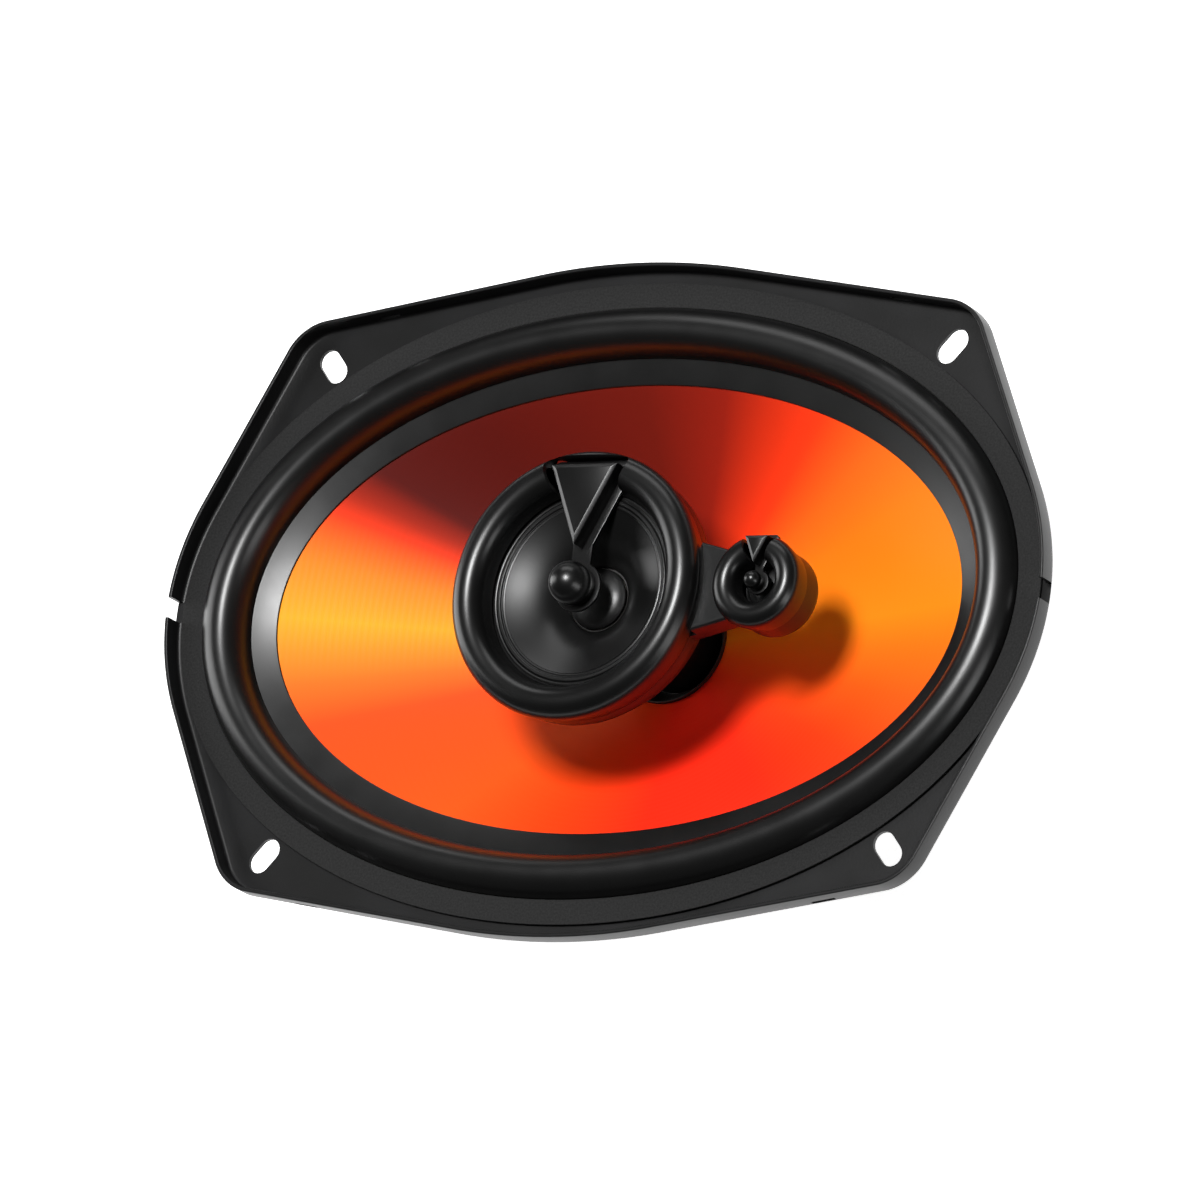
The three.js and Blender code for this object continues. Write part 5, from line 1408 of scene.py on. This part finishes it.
def blade(name, width, x):
    """A blade with a coined free end, a chamfered tip, a locking hole and a rivet hole at its root."""
    top, tip, cut = board_width / 2 - 3, board_width / 2 - 3 - blade_length, 1.2
    outline = [(x - width / 2 + cut, tip), (x + width / 2 - cut, tip), (x + width / 2, tip + cut),
               (x + width / 2, top), (x - width / 2, top), (x - width / 2, tip + cut)]
    face = board_face + blade_thickness
    made = prism(name, outline, board_face, face + blade_root_extra, tin)
    holes = [disc("hole", size, 0, 9, around=32, centre=(x, up))
             for size, up in ((blade_hole, blade_rivet_up), (0.9, tip + 4.5))]
    coined = block((x - width, x + width), (tip - width, coined_end_top), (face, face + 1))
    combine(made, [*holes, coined], "DIFFERENCE")
    round_edges(made, 0.08, 2, 40)
    made.data.transform(on_board)
    return made


finished(blade("wide_blade", 6.35, blade_spacing / 2), "chassis", "tinned_brass", "positive_blade")
finished(blade("narrow_blade", 4.75, -blade_spacing / 2), "chassis", "tinned_brass", "negative_blade")
for title, node, side in (("wide_blade_rivet", "positive_blade_rivet", 1),
                          ("narrow_blade_rivet", "negative_blade_rivet", -1)):
    spot = (side * blade_spacing / 2, blade_rivet_up)
    made = turned(title, rivet_profile(blade_face, 2.2, 0.9, 1.1, blade_face), tin, 48, spot,
                  place=on_board)
    finished(made, "chassis", "tinned_brass", node)
profile = rivet_profile(board_face, 3.0, 1.0, rivet_radius - slide_gap, board_face + 2 * sheet)
for number, up in enumerate((-board_rivet_up, board_rivet_up), 1):
    made = turned("board_fixing_%d" % number, profile, rivet_zinc, 48, (0, up), place=on_board)
    finished(made, "chassis", "rivet_steel", "board_rivet_%d" % number)

# %% [markdown]
# A capacitor is an aluminium can in a shrink sleeve. The sleeve folds over its ends and grips the groove
# near the sealed end, which is the waist in the profile below.

# %% Capacitors
capacitor_radius, capacitor_length = 4.0, 12.0
for title, node, side in (("midrange_capacitor", "mid_capacitor", -1),
                          ("small_capacitor", "tweeter_capacitor", 1)):
    length, can = capacitor_length, capacitor_radius
    profile = soften([(0, 0), (can, 0), (can, 2.0), (can - 0.45, 2.5), (can, 3.0), (can, length),
                      (can - 1.0, length), (can - 1.2, length - 0.25), (0, length - 0.25)],
                     [0, 0.6, 0.3, 0.4, 0.3, 0.6, 0.15, 0.15, 0], 4)
    stand = Matrix.Translation(Vector((side * 15, -board_width / 2 + 1, -can)) * MM) @ Matrix.Rotation(
        -math.pi / 2, 4, "X")
    made = turned(title, profile, sleeve, 64, place=on_board @ stand)
    finished(made, "chassis", "capacitor_sleeve", node)

# %% [markdown]
# ## Leads
# Two slack tinsel braids run from the board to the back of the cone, whose motion they would follow;
# their weights are worked out but not applied. A twin lead goes from the board past the magnet, along the
# yoke's channel and up the hollow bolt to the small drivers. The braid and the twin lead are the same idea
# at two scales: strands that lie round a path and turn along it, so one tree grows both.

# %% Strand tree
def strand_tree(strands):
    """Round strands that lie about the base line, evenly spread, and turn along it."""
    sizes = ("Lay Radius", "Strand Radius", "Pitch")
    tree, given = start_tree("strands_%d" % strands, {
        **{title: "Float" for title in sizes}, "Finish": "Material"})
    line = add(tree, "GeometryNodeMeshToCurve", links={"Mesh": given["Geometry"]})
    even = add(tree, "GeometryNodeResampleCurve", {"mode": "LENGTH"}, {
        "Curve": line, "Length": 0.6 * MM})
    normal = add(tree, "GeometryNodeInputNormal")
    side = add(tree, "ShaderNodeVectorMath", {"operation": "CROSS_PRODUCT"}, {
        0: add(tree, "GeometryNodeInputTangent"), 1: normal})
    run = add(tree, "GeometryNodeSplineParameter").outputs["Length"]
    turns = add(tree, "ShaderNodeMath", {"operation": "DIVIDE"}, {0: run, 1: given["Pitch"]})
    both = add(tree, "GeometryNodeJoinGeometry")
    circle = add(tree, "GeometryNodeCurvePrimitiveCircle", links={
        "Resolution": 8, "Radius": given["Strand Radius"]})
    for k in range(strands):
        shifted = add(tree, "ShaderNodeMath", {"operation": "ADD"}, {0: turns, 1: k / strands})
        angle = add(tree, "ShaderNodeMath", {"operation": "MULTIPLY"}, {0: shifted, 1: 2 * math.pi})
        arms = []
        for direction, operation in ((normal, "COSINE"), (side, "SINE")):
            part = add(tree, "ShaderNodeMath", {"operation": operation}, {0: angle})
            arms.append(add(tree, "ShaderNodeVectorMath", {"operation": "SCALE"}, {
                0: direction, "Scale": part}))
        away = add(tree, "ShaderNodeVectorMath", {"operation": "ADD"}, {0: arms[0], 1: arms[1]})
        offset = add(tree, "ShaderNodeVectorMath", {"operation": "SCALE"}, {
            0: away, "Scale": given["Lay Radius"]})
        strand = add(tree, "GeometryNodeSetPosition", links={"Geometry": even, "Offset": offset})
        swept = add(tree, "GeometryNodeCurveToMesh", links={
            "Curve": strand, "Profile Curve": circle, "Fill Caps": True})
        tree.links.new(swept.outputs[0], both.inputs[0])
    return end_tree(tree, given, both)


def strands_along(name, points, count, lay, strand, pitch, finish):
    path = path_object(curve_through(points, 10))
    return grow(strand_tree(count), name, path, {
        "Lay Radius": lay * MM, "Strand Radius": strand * MM, "Pitch": pitch * MM, "Finish": finish})


# %% Tinsel leads
def cone_height_at(x, y):
    """The height of the cone's front over a point."""
    low, high = 0.0, 1.0
    for _ in range(40):
        share = (low + high) / 2
        radius = neck + (cone_rim - neck) * share
        if math.hypot(x / (radius + oval_stretch * share), y / radius) < 1:
            high = share
        else:
            low = share
    return neck_top + (rim_height - neck_top) * low


tinsel_radius = 0.8
for title, node, side in (("wide_side_braid", "positive_tinsel_lead", 1),
                          ("narrow_side_braid", "negative_tinsel_lead", -1)):
    start = on_board @ (Vector((side * 14, board_width / 2 - 2, -tinsel_radius)) * MM) / MM
    end_y = -0.66 * cone_rim
    end = Vector((side * 10, end_y,
                  cone_height_at(side * 10, end_y) - 2 * cone_wall - 2 * tinsel_radius - cone_bow))
    route = [start.lerp(end, share) + Vector((0, 0, sag)) for share, sag in
             ((0, 0), (0.2, 0.4), (0.45, -2.5), (0.7, -5), (0.9, -2.8), (1, 0))]
    braid = strands_along(title, route, 5, 0.45, 0.33, 6.0, tinsel_copper)
    along = (points_of(braid) - np.array(start)) @ np.array(end - start) / (end - start).length_squared
    flexed(braid, "woofer", along, "copper_braid", node)

# %% [markdown]
# The twin lead's route repeats the design's own points. Its two cores lie side by side and make one slow
# turn in 30 mm, as a loosely twisted pair does.

# %% Twin lead and link lead
magnet_side = -magnet_radius - lead_radius - 0.4
channel_height = lead_radius + 0.6
lead_start = on_board @ (Vector((0, -board_width / 2 - 1, lead_radius + 0.6)) * MM) / MM
twin_route = [
    lead_start,
    (0, -shelf_outer - lead_radius - 1, shelf_top - 1),
    (0, (magnet_side - shelf_outer) / 2 - lead_radius, basket_base + 2),
    (0, magnet_side, plate_base),
    (0, magnet_side, magnet_base + magnet_height / 2),
    (0, magnet_side, magnet_base),
    (0, magnet_side + 0.8, channel_height + 1.4),
    (0, magnet_side + 3, channel_height),
    (0, magnet_side / 2, channel_height),
    (0, -bolt_radius, channel_height),
    (0, -lead_radius, channel_height + lead_radius),
    (0, 0, bolt_end + 3),
    (0, 0, pole_top),
    (0, 0, pod_foot),
    (0, 0, mid_cup_base - seat_gap),
]
twin = strands_along("twin_cores", twin_route, 2, 0.55, 0.54, 30.0, jacket)
finished(twin, "chassis", "lead_jacket", "twin_lead")

link_height = flange_front + arm_front - arm_depth + 1.8
link_start, link_end = shell_rim - pod_wall - 1, tweeter_x - tweeter_cup + pod_wall
link = strands_along("link_cores", [(link_start, 0, link_height),
                                    ((link_start + link_end) / 2, 0, link_height),
                                    (link_end, 0, link_height)], 2, 0.42, 0.42, 9.0, jacket)
finished(link, "chassis", "lead_jacket", "tweeter_link_lead")

# %% [markdown]
# ## Studio
# A plain pale floor and large soft lights. A glossy black object shows little but what it mirrors, so
# each light is a wide softbox placed where the rolls, bezels and lip should carry a highlight. The world
# is nearly dark, so that flat black faces stay dark, and the floor glows a little, as a light table does,
# so that hardly any shadow is left on it.

# %% Floor and lights
floor_white = patterned("studio_floor", "#f4f4f4", ((40,), "#f2f2f2", "#f6f6f6"), Roughness=0.9,
                        Specular_IOR_Level=0.1, Emission_Color=linear("#ffffff"),
                        Emission_Strength=0.85)[0]
reach, depth = 4000, -0.3
corners = [(x, y, depth) for x, y in ((-reach, -reach), (reach, -reach), (reach, reach), (-reach, reach))]
floor = new_piece("studio_floor", corners, [(0, 1, 2, 3)], floor_white)


def softbox(name, place, size, power):
    """A flat white light at a place in millimetres, turned to the middle of the speaker."""
    data = bpy.data.lights.new(name, "AREA")
    data.shape, data.size, data.size_y = "RECTANGLE", size[0] * MM, size[1] * MM
    data.energy = power
    light = bpy.data.objects.new(name, data)
    place, middle = Vector(place) * MM, Vector((0, 0, flange_front)) * MM
    facing = (place - middle).to_track_quat("Z", "Y").to_matrix().to_4x4()
    light.matrix_world = Matrix.Translation(place) @ facing
    bpy.context.scene.collection.objects.link(light)


softbox("left_softbox", (-950, 120, 300), (350, 900), 4.5)
softbox("right_softbox", (950, -450, 420), (350, 900), 3.5)
softbox("top_softbox", (-100, 950, 600), (900, 350), 2.5)
softbox("front_softbox", (120, 260, 1500), (360, 360), 25)
world = bpy.data.worlds.new("studio_world")
world.use_nodes = True
world.node_tree.nodes["Background"].inputs["Color"].default_value = linear("#ffffff")
world.node_tree.nodes["Background"].inputs["Strength"].default_value = 0.05
bpy.context.scene.world = world
bpy.context.scene.view_settings.view_transform = "Standard"
